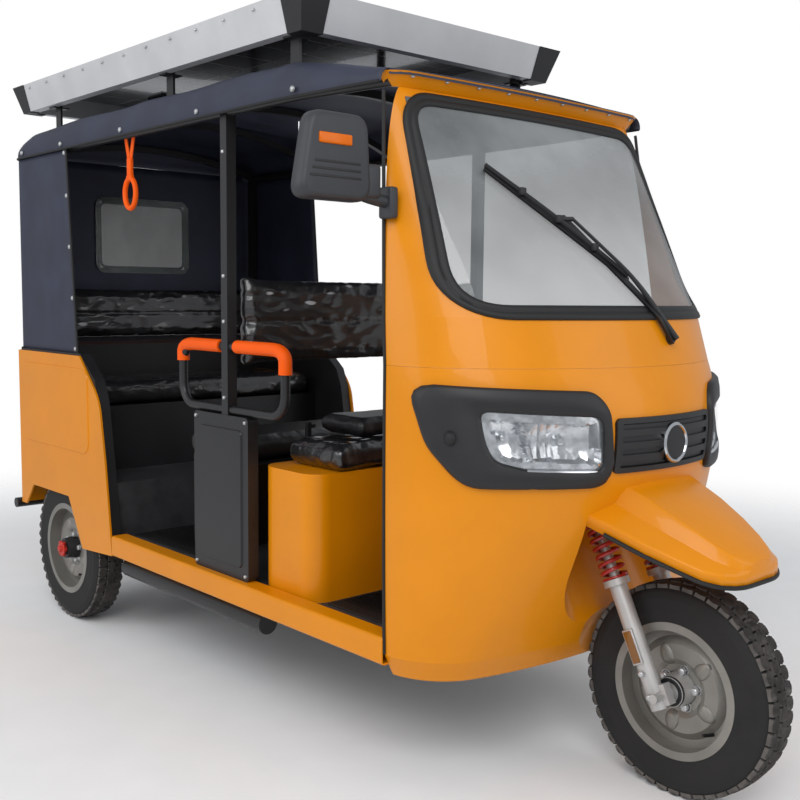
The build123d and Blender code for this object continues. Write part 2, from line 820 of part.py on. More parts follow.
window_low = 1303
window_high = 1572
with BuildPart() as canopy_rear:
    with BuildSketch(Plane.XY.offset(wall_top)):
        with Locations((-1137, 0)):
            RectangleRounded(600, 1081, 50)
            RectangleRounded(592, 1073, 46, mode=Mode.SUBTRACT)
    extrude(amount=canopy_edge + 1 - wall_top)
    split(bisect_by=Plane(origin=(-914, 0, wall_top), z_dir=(1, 0, 0.087)), keep=Keep.BOTTOM)
    with BuildSketch(front_view.offset(-1450)):
        with Locations((0, (window_low + window_high) / 2)):
            RectangleRounded(390, window_high - window_low, 30)
    extrude(amount=40, mode=Mode.SUBTRACT)
keep(canopy_rear.part, "canopy_rear")

with BuildPart() as rear_window:
    with BuildSketch(front_view.offset(-1433 + seat_gap)):
        with Locations((0, (window_low + window_high) / 2)):
            RectangleRounded(430, window_high - window_low + 40, 40)
    extrude(amount=2)
keep(rear_window.part, "rear_window")

# Solar panel on its brackets
panel_low = 1890
panel_high = 1985
panel_rear = -1497
panel_front = 372
panel_half = 512
with BuildPart() as panel_form:
    with BuildSketch(Plane.XY.offset(panel_low)):
        with Locations(((panel_rear + panel_front) / 2, 0)):
            Rectangle(panel_front - panel_rear - 70, 2 * panel_half - 50)
    with BuildSketch(Plane.XY.offset(panel_high)):
        with Locations(((panel_rear + panel_front) / 2, 0)):
            Rectangle(panel_front - panel_rear, 2 * panel_half)
    loft()
with BuildPart() as solar_frame:
    add(panel_form.part)
    block(
        (panel_rear + 70, panel_front - 70),
        (60 - panel_half, panel_half - 60),
        (1800, 2000),
        mode=Mode.SUBTRACT,
    )
    block(
        (panel_rear + 48, panel_front - 48),
        (38 - panel_half, panel_half - 38),
        (1962, 2000),
        mode=Mode.SUBTRACT,
    )
keep(solar_frame.part, "solar_frame")

cap_reach = 95
with BuildPart() as panel_corners:
    with BuildSketch(Plane.XY.offset(panel_low - 4)):
        with Locations(((panel_rear + panel_front) / 2, 0)):
            Rectangle(panel_front - panel_rear - 67, 2 * panel_half - 47)
    with BuildSketch(Plane.XY.offset(panel_high)):
        with Locations(((panel_rear + panel_front) / 2, 0)):
            Rectangle(panel_front - panel_rear + 6, 2 * panel_half + 6)
    loft()
    block((panel_rear + cap_reach, panel_front - cap_reach), (-600, 600), (1800, 2000), mode=Mode.SUBTRACT)
    block((-1600, 500), (cap_reach - panel_half, panel_half - cap_reach), (1800, 2000), mode=Mode.SUBTRACT)
    block(
        (panel_rear + 70, panel_front - 70),
        (60 - panel_half, panel_half - 60),
        (1800, 2000),
        mode=Mode.SUBTRACT,
    )
    add(panel_form.part, mode=Mode.SUBTRACT)
keep(panel_corners.part, "panel_corners")

with BuildPart() as solar_panel:
    block(
        (panel_rear + 48.5, panel_front - 48.5),
        (-panel_half + 38.5, panel_half - 38.5),
        (1962, 1974),
    )
keep(solar_panel.part, "solar_panel")

bracket_y = 440
with BuildPart() as solar_brackets:
    for bracket_x in (-1250, -420, 250):
        for side in (-1, 1):
            pad_y = side * bracket_y
            block((bracket_x - 20, bracket_x + 20), (pad_y - 4, pad_y + 4), (1760, panel_low + 30))
            block((bracket_x - 20, bracket_x + 20), (pad_y - 30, pad_y + 30), (panel_low - 5, panel_low))
    add(canopy_outer, mode=Mode.SUBTRACT)
    add(solar_frame.part, mode=Mode.SUBTRACT)
keep(solar_brackets.part, "solar_brackets")

# Mirror on the right screen pillar
with BuildPart() as mirror_housing:
    block((722, 768), (-mirror_reach, -602), (1408, 1602))
    fillet(mirror_housing.edges().filter_by(Axis.X), radius=28)
    fillet(mirror_housing.faces().sort_by(Axis.X)[-1].edges(), radius=16)
    block((728, 752), (-610, -500), (1400, 1424))
    block((716, 764), (-545, -500), (1376, 1452))
    add(head_outer, mode=Mode.SUBTRACT)
keep(mirror_housing.part, "mirror")

# Dashboard behind the screen
dash_space = nose_form(-cab_sheet - 1)
with BuildPart() as dashboard:
    block((955, 1200), (-560, 560), (930, 1034))
    add(dash_space, mode=Mode.INTERSECT)
    add(headlamp_body.part, mode=Mode.SUBTRACT)
    mirror(headlamp_body.part, about=Plane.XZ, mode=Mode.SUBTRACT)
    add(well_skin, mode=Mode.SUBTRACT)
keep(dashboard.part, "dashboard")

# Hanging strap with its moulded handle
with BuildPart() as grab_strap:
    block((-572, -540), (-517, -513), (1632, roof_rail_z - 14))
    add(roof_frame.part, mode=Mode.SUBTRACT)
    with BuildSketch(Plane.XZ.offset(507)):
        with Locations((-556, 1550)):
            RectangleRounded(96, 164, 40)
        with Locations((-556, 1530)):
            RectangleRounded(66, 92, 30, mode=Mode.SUBTRACT)
    extrude(amount=16)
keep(grab_strap.part, "grab_strap")
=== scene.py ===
"""Open-sided electric three-wheeler: finishes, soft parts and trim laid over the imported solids."""

import logging
import math
from dataclasses import dataclass
from enum import Enum
from typing import Iterable, Sequence

import bmesh
import bpy
from mathutils import Matrix, Vector, noise
from mathutils.bvhtree import BVHTree


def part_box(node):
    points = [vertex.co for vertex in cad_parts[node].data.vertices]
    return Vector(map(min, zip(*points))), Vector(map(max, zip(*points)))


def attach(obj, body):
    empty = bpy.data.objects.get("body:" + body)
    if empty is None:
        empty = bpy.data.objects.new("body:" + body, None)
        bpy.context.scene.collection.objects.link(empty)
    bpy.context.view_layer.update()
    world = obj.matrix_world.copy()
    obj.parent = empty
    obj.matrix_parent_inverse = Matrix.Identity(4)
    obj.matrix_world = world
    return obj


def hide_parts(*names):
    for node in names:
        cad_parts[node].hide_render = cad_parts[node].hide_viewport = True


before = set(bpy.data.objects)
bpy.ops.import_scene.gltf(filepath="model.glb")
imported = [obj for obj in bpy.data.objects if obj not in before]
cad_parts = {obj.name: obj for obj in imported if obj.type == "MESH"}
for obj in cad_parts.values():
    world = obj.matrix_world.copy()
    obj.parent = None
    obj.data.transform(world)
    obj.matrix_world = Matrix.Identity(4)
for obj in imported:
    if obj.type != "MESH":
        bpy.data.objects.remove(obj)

log = logging.getLogger("scene")
Colour = tuple[float, float, float]
Points = Sequence[Vector]

CENTRE_Y = 121.0
MILLIMETRE = 0.001
RAKE = math.radians(26)
FRONT_AXLE = (1240.0, 0.0, 260.0)


def at(x: float, y: float, z: float) -> Vector:
    """Place a point of the vehicle.

    Args:
        x: Forward distance in millimetres.
        y: Distance to the left of the centre plane in millimetres.
        z: Height in millimetres.

    Returns:
        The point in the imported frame, in metres.
    """
    return Vector((x, y + CENTRE_Y, z)) * MILLIMETRE


def steer(forward: float, side: float, up: float) -> Vector:
    """Place a point measured along the raked steering axis.

    Args:
        forward: Distance ahead of the axis in millimetres.
        side: Distance to the left in millimetres.
        up: Distance above the front axle along the axis in millimetres.

    Returns:
        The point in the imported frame, in metres.
    """
    cos, sin = math.cos(RAKE), math.sin(RAKE)
    x = FRONT_AXLE[0] + forward * cos - up * sin
    return at(x, side, FRONT_AXLE[2] + forward * sin + up * cos)


def paint(red: int, green: int, blue: int) -> Colour:
    """Turn a display colour of 0 to 255 into the linear colour that shaders take.

    Args:
        red: Red share.
        green: Green share.
        blue: Blue share.

    Returns:
        The linear colour.
    """
    return tuple(
        c / 12.92 if c <= 0.04045 else ((c + 0.055) / 1.055) ** 2.4
        for c in (red / 255, green / 255, blue / 255)
    )


class Body(str, Enum):
    """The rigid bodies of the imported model."""

    VEHICLE = "vehicle"
    STEERING = "steering"
    FRONT_WHEEL = "front_wheel"
    REAR_RIGHT = "rear_wheel_right"
    REAR_LEFT = "rear_wheel_left"
    SEAT_BACK = "seat_back"


class Graph:
    """A material's nodes while they are being wired."""

    def __init__(self, name: str) -> None:
        """Start an empty material.

        Args:
            name: The material's name.
        """
        self.material = bpy.data.materials.new(name)
        self.material.use_nodes = True
        self.tree = self.material.node_tree
        self.tree.nodes.clear()
        self.out = self.tree.nodes.new("ShaderNodeOutputMaterial")
        self.place = self.tree.nodes.new("ShaderNodeTexCoord").outputs["Object"]

    def add(self, kind: str, sockets: dict[str, object], **settings: object) -> bpy.types.Node:
        """Add a node.

        Args:
            kind: The node's type without its prefix.
            sockets: Values, or output sockets to link, by input name.
            settings: Properties of the node itself.

        Returns:
            The new node.
        """
        node = self.tree.nodes.new("ShaderNode" + kind)
        for name, value in settings.items():
            setattr(node, name, value)
        for name, value in sockets.items():
            if isinstance(value, bpy.types.NodeSocket):
                self.tree.links.new(value, node.inputs[name])
            else:
                node.inputs[name].default_value = value
        return node

    def noise(
        self, scale: float, detail: float = 4.0, stretch: Colour = (1, 1, 1), **settings: object
    ) -> bpy.types.NodeSocket:
        """Add a noise on the object's own coordinates.

        Args:
            scale: Features per metre.
            detail: Octaves of finer noise.
            stretch: How much the noise is squeezed along each axis.
            settings: Properties of the noise node.

        Returns:
            The output socket of the noise value.
        """
        where = self.add("Mapping", {"Vector": self.place, "Scale": stretch})
        sockets = {"Vector": where.outputs[0], "Scale": scale, "Detail": detail}
        return self.add("TexNoise", sockets, **settings).outputs[0]

    def blend(self, factor: bpy.types.NodeSocket, low: Colour, high: Colour) -> bpy.types.NodeSocket:
        """Mix two colours by a factor.

        Args:
            factor: The socket that drives the mix.
            low: The colour at factor 0.
            high: The colour at factor 1.

        Returns:
            The output socket of the mixed colour.
        """
        ramp = self.add("ValToRGB", {"Fac": factor})
        ramp.color_ramp.elements[0].position = 0.35
        ramp.color_ramp.elements[1].position = 0.65
        ramp.color_ramp.elements[0].color = (*low, 1)
        ramp.color_ramp.elements[1].color = (*high, 1)
        return ramp.outputs[0]

    def bump(
        self, height: bpy.types.NodeSocket, distance: float, strength: float = 1.0
    ) -> bpy.types.NodeSocket:
        """Turn a height into a surface direction.

        Args:
            height: The socket with the height.
            distance: How tall a height of one is, in metres.
            strength: How strongly it tilts the surface.

        Returns:
            The output socket of the tilted direction.
        """
        sockets = {"Height": height, "Distance": distance, "Strength": strength}
        return self.add("Bump", sockets).outputs[0]


@dataclass(frozen=True)
class Finish:
    """A plain surface with a little unevenness in its colour, gloss and relief."""

    name: str
    colour: Colour
    rough: float = 0.45
    metal: float = 0.0
    coat: float = 0.0
    alpha: float = 1.0
    shine: float = 0.5
    mottle: float = 0.1
    mottle_scale: float = 6.0
    grain: float = 0.0002
    grain_scale: float = 420.0

    def make(self) -> bpy.types.Material:
        """Build the material, or return the one already built.

        Returns:
            The material.
        """
        name = "finish_" + self.name
        if name in bpy.data.materials:
            return bpy.data.materials[name]
        graph = Graph(name)
        sockets = {"Metallic": self.metal, "Coat Weight": self.coat, "Coat Roughness": 0.04}
        sockets |= {"Alpha": self.alpha, "Specular IOR Level": self.shine}
        shader = graph.add("BsdfPrincipled", sockets)
        self.wire(graph, shader)
        graph.tree.links.new(shader.outputs[0], graph.out.inputs["Surface"])
        return graph.material

    def wire(self, graph: Graph, shader: bpy.types.Node) -> None:
        """Link the colour, gloss and relief.

        Args:
            graph: The material's nodes.
            shader: The surface shader to feed.
        """
        # Random patches of colour and gloss; on the windscreen they make its painted reflection uneven.
        wear_and_sheen = graph.noise(self.mottle_scale)
        low = tuple(c * (1 - self.mottle) for c in self.colour)
        high = tuple(min(1.0, c * (1 + self.mottle)) for c in self.colour)
        graph.tree.links.new(graph.blend(wear_and_sheen, low, high), shader.inputs["Base Color"])
        sockets = {"Value": wear_and_sheen, "To Min": self.rough * 0.85, "To Max": min(1.0, self.rough * 1.15)}
        graph.tree.links.new(graph.add("MapRange", sockets).outputs[0], shader.inputs["Roughness"])
        fine = graph.noise(self.grain_scale, 2.0)
        graph.tree.links.new(graph.bump(fine, self.grain, 0.5), shader.inputs["Normal"])


@dataclass(frozen=True)
class CellFinish(Finish):
    """Dark cells parted by pale lines, under a smooth face."""

    cell: float = 0.158
    line: float = 0.0022
    line_colour: Colour = (0.6, 0.62, 0.64)

    def wire(self, graph: Graph, shader: bpy.types.Node) -> None:
        """Link the cells and a fine ripple.

        Args:
            graph: The material's nodes.
            shader: The surface shader to feed.
        """
        sockets = {"Vector": graph.place, "Color1": (*self.colour, 1), "Color2": (*self.colour, 1)}
        sockets |= {"Mortar": (*self.line_colour, 1), "Scale": 1.0, "Mortar Size": self.line}
        sockets |= {"Mortar Smooth": 0.0, "Brick Width": self.cell, "Row Height": self.cell}
        cells = graph.add("TexBrick", sockets, offset=0.0, squash=1.0)
        graph.tree.links.new(cells.outputs[0], shader.inputs["Base Color"])
        shader.inputs["Roughness"].default_value = self.rough
        fine = graph.noise(self.grain_scale, 2.0)
        graph.tree.links.new(graph.bump(fine, self.grain, 0.3), shader.inputs["Normal"])


@dataclass(frozen=True)
class FilmFinish(Finish):
    """Stuffed vinyl under crinkled clear film, with a painted soft reflection along the creases and painted
    white highlights on fine ridges.
    """

    crease: float = 0.016
    crease_scale: float = 19.0
    # Painted reflection: the lighter colour that the creases take on.
    painted_sheen: Colour = (0.06, 0.063, 0.075)
    # Painted highlights: the near-white colour of the film's fine ridges.
    painted_highlight: Colour = (0.46, 0.46, 0.48)

    def wire(self, graph: Graph, shader: bpy.types.Node) -> None:
        """Link the vinyl's colour with its painted reflection and painted highlights, and the film's creases.

        Args:
            graph: The material's nodes.
            shader: The surface shader to feed.
        """
        super().wire(graph, shader)
        crease = graph.noise(
            self.crease_scale, 3.0, (1.0, 0.55, 1.3), noise_type="RIDGED_MULTIFRACTAL", normalize=True
        )
        links = graph.tree.links
        # A finer ridged noise marks where the painted white highlights lie.
        fine = graph.noise(
            self.crease_scale * 1.3, 3.0, (0.7, 0.5, 1.6), noise_type="RIDGED_MULTIFRACTAL", normalize=True
        )
        sockets = {"Value": fine, "From Min": 0.42, "From Max": 0.66}
        painted_highlight = graph.add("MapRange", sockets, interpolation_type="SMOOTHSTEP").outputs[0]
        # The colour lightens along the creases as painted reflection, and painted highlights are mixed in on
        # the ridges.
        painted_sheen_colour = graph.blend(crease, self.colour, self.painted_sheen)
        mixed = graph.add("MixRGB", {"Fac": painted_highlight, "Color1": painted_sheen_colour, "Color2": (*self.painted_highlight, 1)})
        links.new(mixed.outputs[0], shader.inputs["Base Color"])
        links.new(graph.bump(crease, self.crease), shader.inputs["Coat Normal"])
        links.new(graph.bump(crease, self.crease * 0.4), shader.inputs["Normal"])
        shader.inputs["Coat Roughness"].default_value = 0.12


@dataclass(frozen=True)
class PaneFinish(Finish):
    """A clear sheet with a part see-through tint whose share can change with height, so that it looks paler
    towards its foot: a soft, uneven, painted reflection.
    """

    foot: float = 1.14
    head: float = 1.70
    foot_alpha: float = 0.5
    head_alpha: float = 0.5

    def wire(self, graph: Graph, shader: bpy.types.Node) -> None:
        """Link the tint and the see-through share that paint the reflection.

        Args:
            graph: The material's nodes.
            shader: The surface shader to feed.
        """
        super().wire(graph, shader)
        height = graph.add("SeparateXYZ", {"Vector": graph.place}).outputs["Z"]
        sockets = {"Value": height, "From Min": self.foot, "From Max": self.head}
        sockets |= {"To Min": self.foot_alpha, "To Max": self.head_alpha}
        share = graph.add("MapRange", sockets, interpolation_type="SMOOTHSTEP").outputs[0]
        graph.tree.links.new(share, shader.inputs["Alpha"])


@dataclass(frozen=True)
class FadingFinish(Finish):
    """A floor that fades away with distance from its middle."""

    near: float = 2.2
    far: float = 4.6

    def wire(self, graph: Graph, shader: bpy.types.Node) -> None:
        """Link the colour and the fading.

        Args:
            graph: The material's nodes.
            shader: The surface shader to feed.
        """
        super().wire(graph, shader)
        reach = graph.add("VectorMath", {0: graph.place}, operation="LENGTH").outputs["Value"]
        sockets = {"Value": reach, "From Min": self.near, "From Max": self.far, "To Min": 1.0, "To Max": 0.0}
        share = graph.add("MapRange", sockets, interpolation_type="SMOOTHSTEP").outputs[0]
        graph.tree.links.new(share, shader.inputs["Alpha"])


FLOOR = FadingFinish("floor_pale", (0.94, 0.94, 0.94), 0.9, mottle=0.01, grain=0.0)
ORANGE = Finish("orange_paint", paint(222, 136, 2), 0.34, coat=0.15, shine=0.25, mottle=0.03, grain=0.00005)
BLACK_PAINT = Finish("black_paint", paint(24, 24, 26), 0.45, coat=0.1, mottle=0.2)
BLACK_PLASTIC = Finish("black_plastic", paint(26, 26, 28), 0.5, mottle=0.15, grain=0.0004)
GREY_PLASTIC = Finish("grey_plastic", paint(48, 50, 54), 0.5, mottle=0.12, grain=0.0004)
FLOOR_GREY = Finish("grey_floor", paint(50, 50, 52), 0.6, mottle=0.25, mottle_scale=14)
HAND_ORANGE = Finish("orange_plastic", paint(246, 92, 0), 0.5, shine=0.2, mottle=0.05, grain=0.0005)
RUBBER = Finish("seal_rubber", paint(18, 18, 19), 0.6, mottle=0.2, grain=0.0004)
TREAD = Finish("tread_rubber", paint(88, 84, 81), 0.85, mottle=0.35, mottle_scale=25, grain=0.0006)
TYRE = Finish("tyre_rubber", paint(27, 26, 26), 0.8, mottle=0.3, mottle_scale=18, grain=0.0006)
SILVER = Finish("wheel_silver", paint(136, 133, 127), 0.42, 0.45, mottle=0.16, grain=0.0002)
CAST = Finish("cast_metal", paint(186, 184, 182), 0.4, 0.5, mottle=0.14, grain=0.0004)
DARK_HUB = Finish("dark_hub", paint(40, 40, 42), 0.5, 0.3, mottle=0.25)
SPRING_RED = Finish("spring_red", paint(170, 34, 26), 0.38, coat=0.4, mottle=0.1)
ALUMINIUM = Finish("panel_frame", paint(206, 206, 208), 0.4, 0.25, mottle=0.05, grain=0.0001)
CELLS = CellFinish("panel_glass", paint(16, 18, 30), 0.16, coat=0.5)
TARPAULIN = Finish("canopy_cloth", paint(42, 46, 64), 0.6, mottle=0.2, mottle_scale=7, grain=0.0007)
VINYL = FilmFinish("seat_vinyl", paint(20, 20, 22), 0.4, coat=1.0, mottle=0.2)
PLAIN_VINYL = Finish("plain_vinyl", paint(24, 24, 26), 0.42, mottle=0.15, grain=0.0005)
CLEAN = {"grain": 0.00001}
PRISMS = {"grain": 0.0008, "grain_scale": 260}
FLUTES = {"grain": 0.0004, "grain_scale": 120}
# Broad patches that make the windscreen's painted reflection uneven.
PAINTED_REFLECTION_PATCHES = {"mottle": 0.3, "mottle_scale": 3.2}
CLOUDS = {"mottle": 0.5, "mottle_scale": 11}
# The windscreen's painted reflection: its tint shows less at the foot, which looks paler.
PAINTED_REFLECTION_FADE = {"foot_alpha": 0.42, "head_alpha": 0.7}
THIN = {"foot_alpha": 0.05, "head_alpha": 0.05}
# Windscreen: the grey, part see-through tint is a painted reflection of the sky, paler towards its foot and
# patchy.
GLASS = PaneFinish("clear_glass", paint(134, 138, 139), 0.05, **PAINTED_REFLECTION_FADE, **PAINTED_REFLECTION_PATCHES, **CLEAN)
CLEAR = PaneFinish("clear_sheet", paint(70, 78, 76), 0.1, foot_alpha=0.72, head_alpha=0.8, **CLOUDS)
LENS = PaneFinish("lamp_lens", paint(220, 226, 228), 0.03, mottle=0.04, **THIN, **CLEAN)
LAMP_BOWL = Finish("lamp_bowl", paint(196, 198, 201), 0.2, 1.0, mottle=0.3, mottle_scale=30, **FLUTES)
DULL_AMBER = Finish("dull_amber", paint(122, 76, 10), 0.3, coat=0.4, mottle=0.15, **PRISMS)
AMBER = Finish("amber_lens", paint(214, 102, 0), 0.25, coat=0.15, shine=0.2, mottle=0.08, **PRISMS)
RED_LENS = Finish("red_lens", paint(150, 16, 12), 0.2, coat=0.6, mottle=0.1, **PRISMS)
CHROME = Finish("chrome", paint(205, 207, 210), 0.16, 1.0, mottle=0.06, grain=0.00005)
ZINC = Finish("zinc", paint(190, 191, 192), 0.32, 0.7, mottle=0.1)
PLATE_WHITE = Finish("plate_white", paint(224, 224, 220), 0.4, mottle=0.03)
HUB_RED = Finish("hub_red", paint(186, 42, 28), 0.42, mottle=0.12)


class Surface:
    """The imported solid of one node, for setting trim exactly on its skin."""

    def __init__(self, node: str) -> None:
        """Read the node's skin.

        Args:
            node: The CAD node's name.
        """
        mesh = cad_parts[node].data
        faces = [tuple(face.vertices) for face in mesh.polygons]
        self.tree = BVHTree.FromPolygons([v.co.copy() for v in mesh.vertices], faces)

    def hit(self, start: Vector, way: Vector) -> tuple[Vector, Vector] | None:
        """Find where a straight line meets the skin.

        Args:
            start: Where the line starts.
            way: Its direction.

        Returns:
            The point and the outward direction there, or None.
        """
        way = way.normalized()
        point, normal, _, _ = self.tree.ray_cast(start, way)
        if point is None:
            return None
        return point, (normal if normal.dot(way) < 0 else -normal)


class Form:
    """A mesh under construction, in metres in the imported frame."""

    def __init__(self) -> None:
        """Start an empty mesh."""
        self.mesh = bmesh.new()

    def grid(self, rows: Sequence[Points], loop_u: bool = False, loop_v: bool = False) -> list[list]:
        """Skin a table of points with quads.

        Args:
            rows: Rows of points, all of one length.
            loop_u: Whether the last row joins the first.
            loop_v: Whether each row's end joins its start.

        Returns:
            The vertices, row by row.
        """
        made = [[self.mesh.verts.new(p) for p in row] for row in rows]
        count, width = len(made), len(made[0])
        for i in range(count if loop_u else count - 1):
            a, b = made[i], made[(i + 1) % count]
            for j in range(width if loop_v else width - 1):
                k = (j + 1) % width
                self.mesh.faces.new((a[j], a[k], b[k], b[j]))
        return made

    def tube(
        self, path: Points, radius: float, sides: int = 10, loop: bool = False, end: float = 1.0
    ) -> None:
        """Sweep a round section along a path.

        Args:
            path: Points of the centre line.
            radius: Radius in metres.
            sides: Corners of the section.
            loop: Whether the path closes on itself.
            end: The radius at the far end as a share of the first.
        """
        rows: list[list[Vector]] = []
        count = len(path)
        normal = None
        for i, point in enumerate(path):
            ahead = path[(i + 1) % count] if loop or i < count - 1 else point
            behind = path[i - 1] if loop or i else point
            way = (ahead - behind).normalized()
            normal = way.orthogonal() if normal is None else normal - way * normal.dot(way)
            normal = normal.normalized()
            side = way.cross(normal)
            size = radius * (1 + (end - 1) * i / max(1, count - 1))
            turn = [math.tau * k / sides for k in range(sides)]
            rows.append([point + (normal * math.cos(a) + side * math.sin(a)) * size for a in turn])
        made = self.grid(rows, loop_u=loop, loop_v=True)
        if not loop:
            self.mesh.faces.new(made[0])
            self.mesh.faces.new(made[-1])

    def lathe(
        self,
        profile: Sequence[tuple[float, float]],
        centre: Vector,
        axis: Vector,
        steps: int = 48,
        loop: bool = False,
    ) -> None:
        """Turn a profile round an axis.

        Args:
            profile: Pairs of radius and distance along the axis, in millimetres.
            centre: The point on the axis that distances start from.
            axis: The axis.
            steps: Divisions of the turn.
            loop: Whether the profile closes on itself.
        """
        axis = axis.normalized()
        across = axis.orthogonal().normalized()
        side = axis.cross(across)
        rows = []
        for i in range(steps):
            a = math.tau * i / steps
            out = across * math.cos(a) + side * math.sin(a)
            rows.append([centre + (out * r + axis * s) * MILLIMETRE for r, s in profile])
        self.grid(rows, loop_u=True, loop_v=loop)

    def slab(self, centre: Vector, size: Colour, bevel: float, turn: Matrix | None = None) -> None:
        """Add a box with rounded edges.

        Args:
            centre: Its middle.
            size: Its three sizes in millimetres.
            bevel: The edge radius in millimetres.
            turn: How it is turned, if at all.
        """
        part = bmesh.new()
        bmesh.ops.create_cube(part, size=1.0)
        bmesh.ops.scale(part, vec=Vector(size) * MILLIMETRE, verts=part.verts)
        reach = bevel * MILLIMETRE
        bmesh.ops.bevel(part, geom=part.edges[:], offset=reach, segments=3, profile=0.5, affect="EDGES")
        place = Matrix.Translation(centre) @ (turn.to_4x4() if turn else Matrix.Identity(4))
        bmesh.ops.transform(part, matrix=place, verts=part.verts)
        self.add(part)

    def add(self, part: bmesh.types.BMesh) -> None:
        """Take over another mesh and free it.

        Args:
            part: The mesh to take over.
        """
        mesh = bpy.data.meshes.new("part")
        part.to_mesh(mesh)
        part.free()
        self.mesh.from_mesh(mesh)
        bpy.data.meshes.remove(mesh)

    def prism(self, outline: Points, depth: Vector) -> None:
        """Push a flat outline straight along a depth.

        Args:
            outline: Its corners in order.
            depth: How far and which way it is pushed.
        """
        made = self.grid([list(outline), [p + depth for p in outline]], loop_v=True)
        self.mesh.faces.new(made[0])
        self.mesh.faces.new(made[1])

    def build(self, name: str, sharp: float = 35.0) -> bpy.types.Object:
        """Turn the form into an object with outward faces.

        Args:
            name: The object's name.
            sharp: Edges that bend by more than this many degrees stay sharp.

        Returns:
            The object, linked to the scene.
        """
        bmesh.ops.remove_doubles(self.mesh, verts=self.mesh.verts, dist=1e-6)
        bmesh.ops.recalc_face_normals(self.mesh, faces=self.mesh.faces)
        mesh = bpy.data.meshes.new(name)
        self.mesh.to_mesh(mesh)
        self.mesh.free()
        mesh.shade_smooth()
        mesh.set_sharp_from_angle(angle=math.radians(sharp))
        thing = bpy.data.objects.new(name, mesh)
        bpy.context.scene.collection.objects.link(thing)
        return thing


def thicken(thing: bpy.types.Object, depth: float) -> bpy.types.Object:
    """Give an open sheet a thickness on its inner side.

    Args:
        thing: The sheet.
        depth: The thickness in millimetres.

    Returns:
        The same object with a closed mesh and no modifier.
    """
    solid = thing.modifiers.new("thick", "SOLIDIFY")
    solid.thickness = depth * MILLIMETRE
    solid.offset = -1.0
    graph = bpy.context.evaluated_depsgraph_get()
    mesh = bpy.data.meshes.new_from_object(thing.evaluated_get(graph))
    thing.modifiers.clear()
    mesh.name = thing.name
    thing.data = mesh
    return thing


def settle(thing: bpy.types.Object, finish: Finish, body: Body, slot: str, *nodes: str) -> bpy.types.Object:
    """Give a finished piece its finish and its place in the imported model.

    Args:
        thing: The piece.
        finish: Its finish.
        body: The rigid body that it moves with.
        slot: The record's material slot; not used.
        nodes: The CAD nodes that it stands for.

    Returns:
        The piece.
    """
    thing.data.materials.clear()
    thing.data.materials.append(finish.make())
    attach(thing, body.value)
    if nodes:
        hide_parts(*nodes)
    log.info("%s: %d faces", thing.name, len(thing.data.polygons))
    return thing


def dress(finish: Finish, *nodes: str) -> None:
    """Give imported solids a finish.

    Args:
        finish: The finish.
        nodes: The CAD nodes that take it.
    """
    for node in nodes:
        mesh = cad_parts[node].data
        mesh.materials.clear()
        mesh.materials.append(finish.make())
        log.info("%s: %s", node, finish.name)


@dataclass(frozen=True)
class Seat:
    """Where one repeated shape sits and how it is turned."""

    point: Vector
    facing: Vector
    along: Vector = Vector((1, 0, 0))


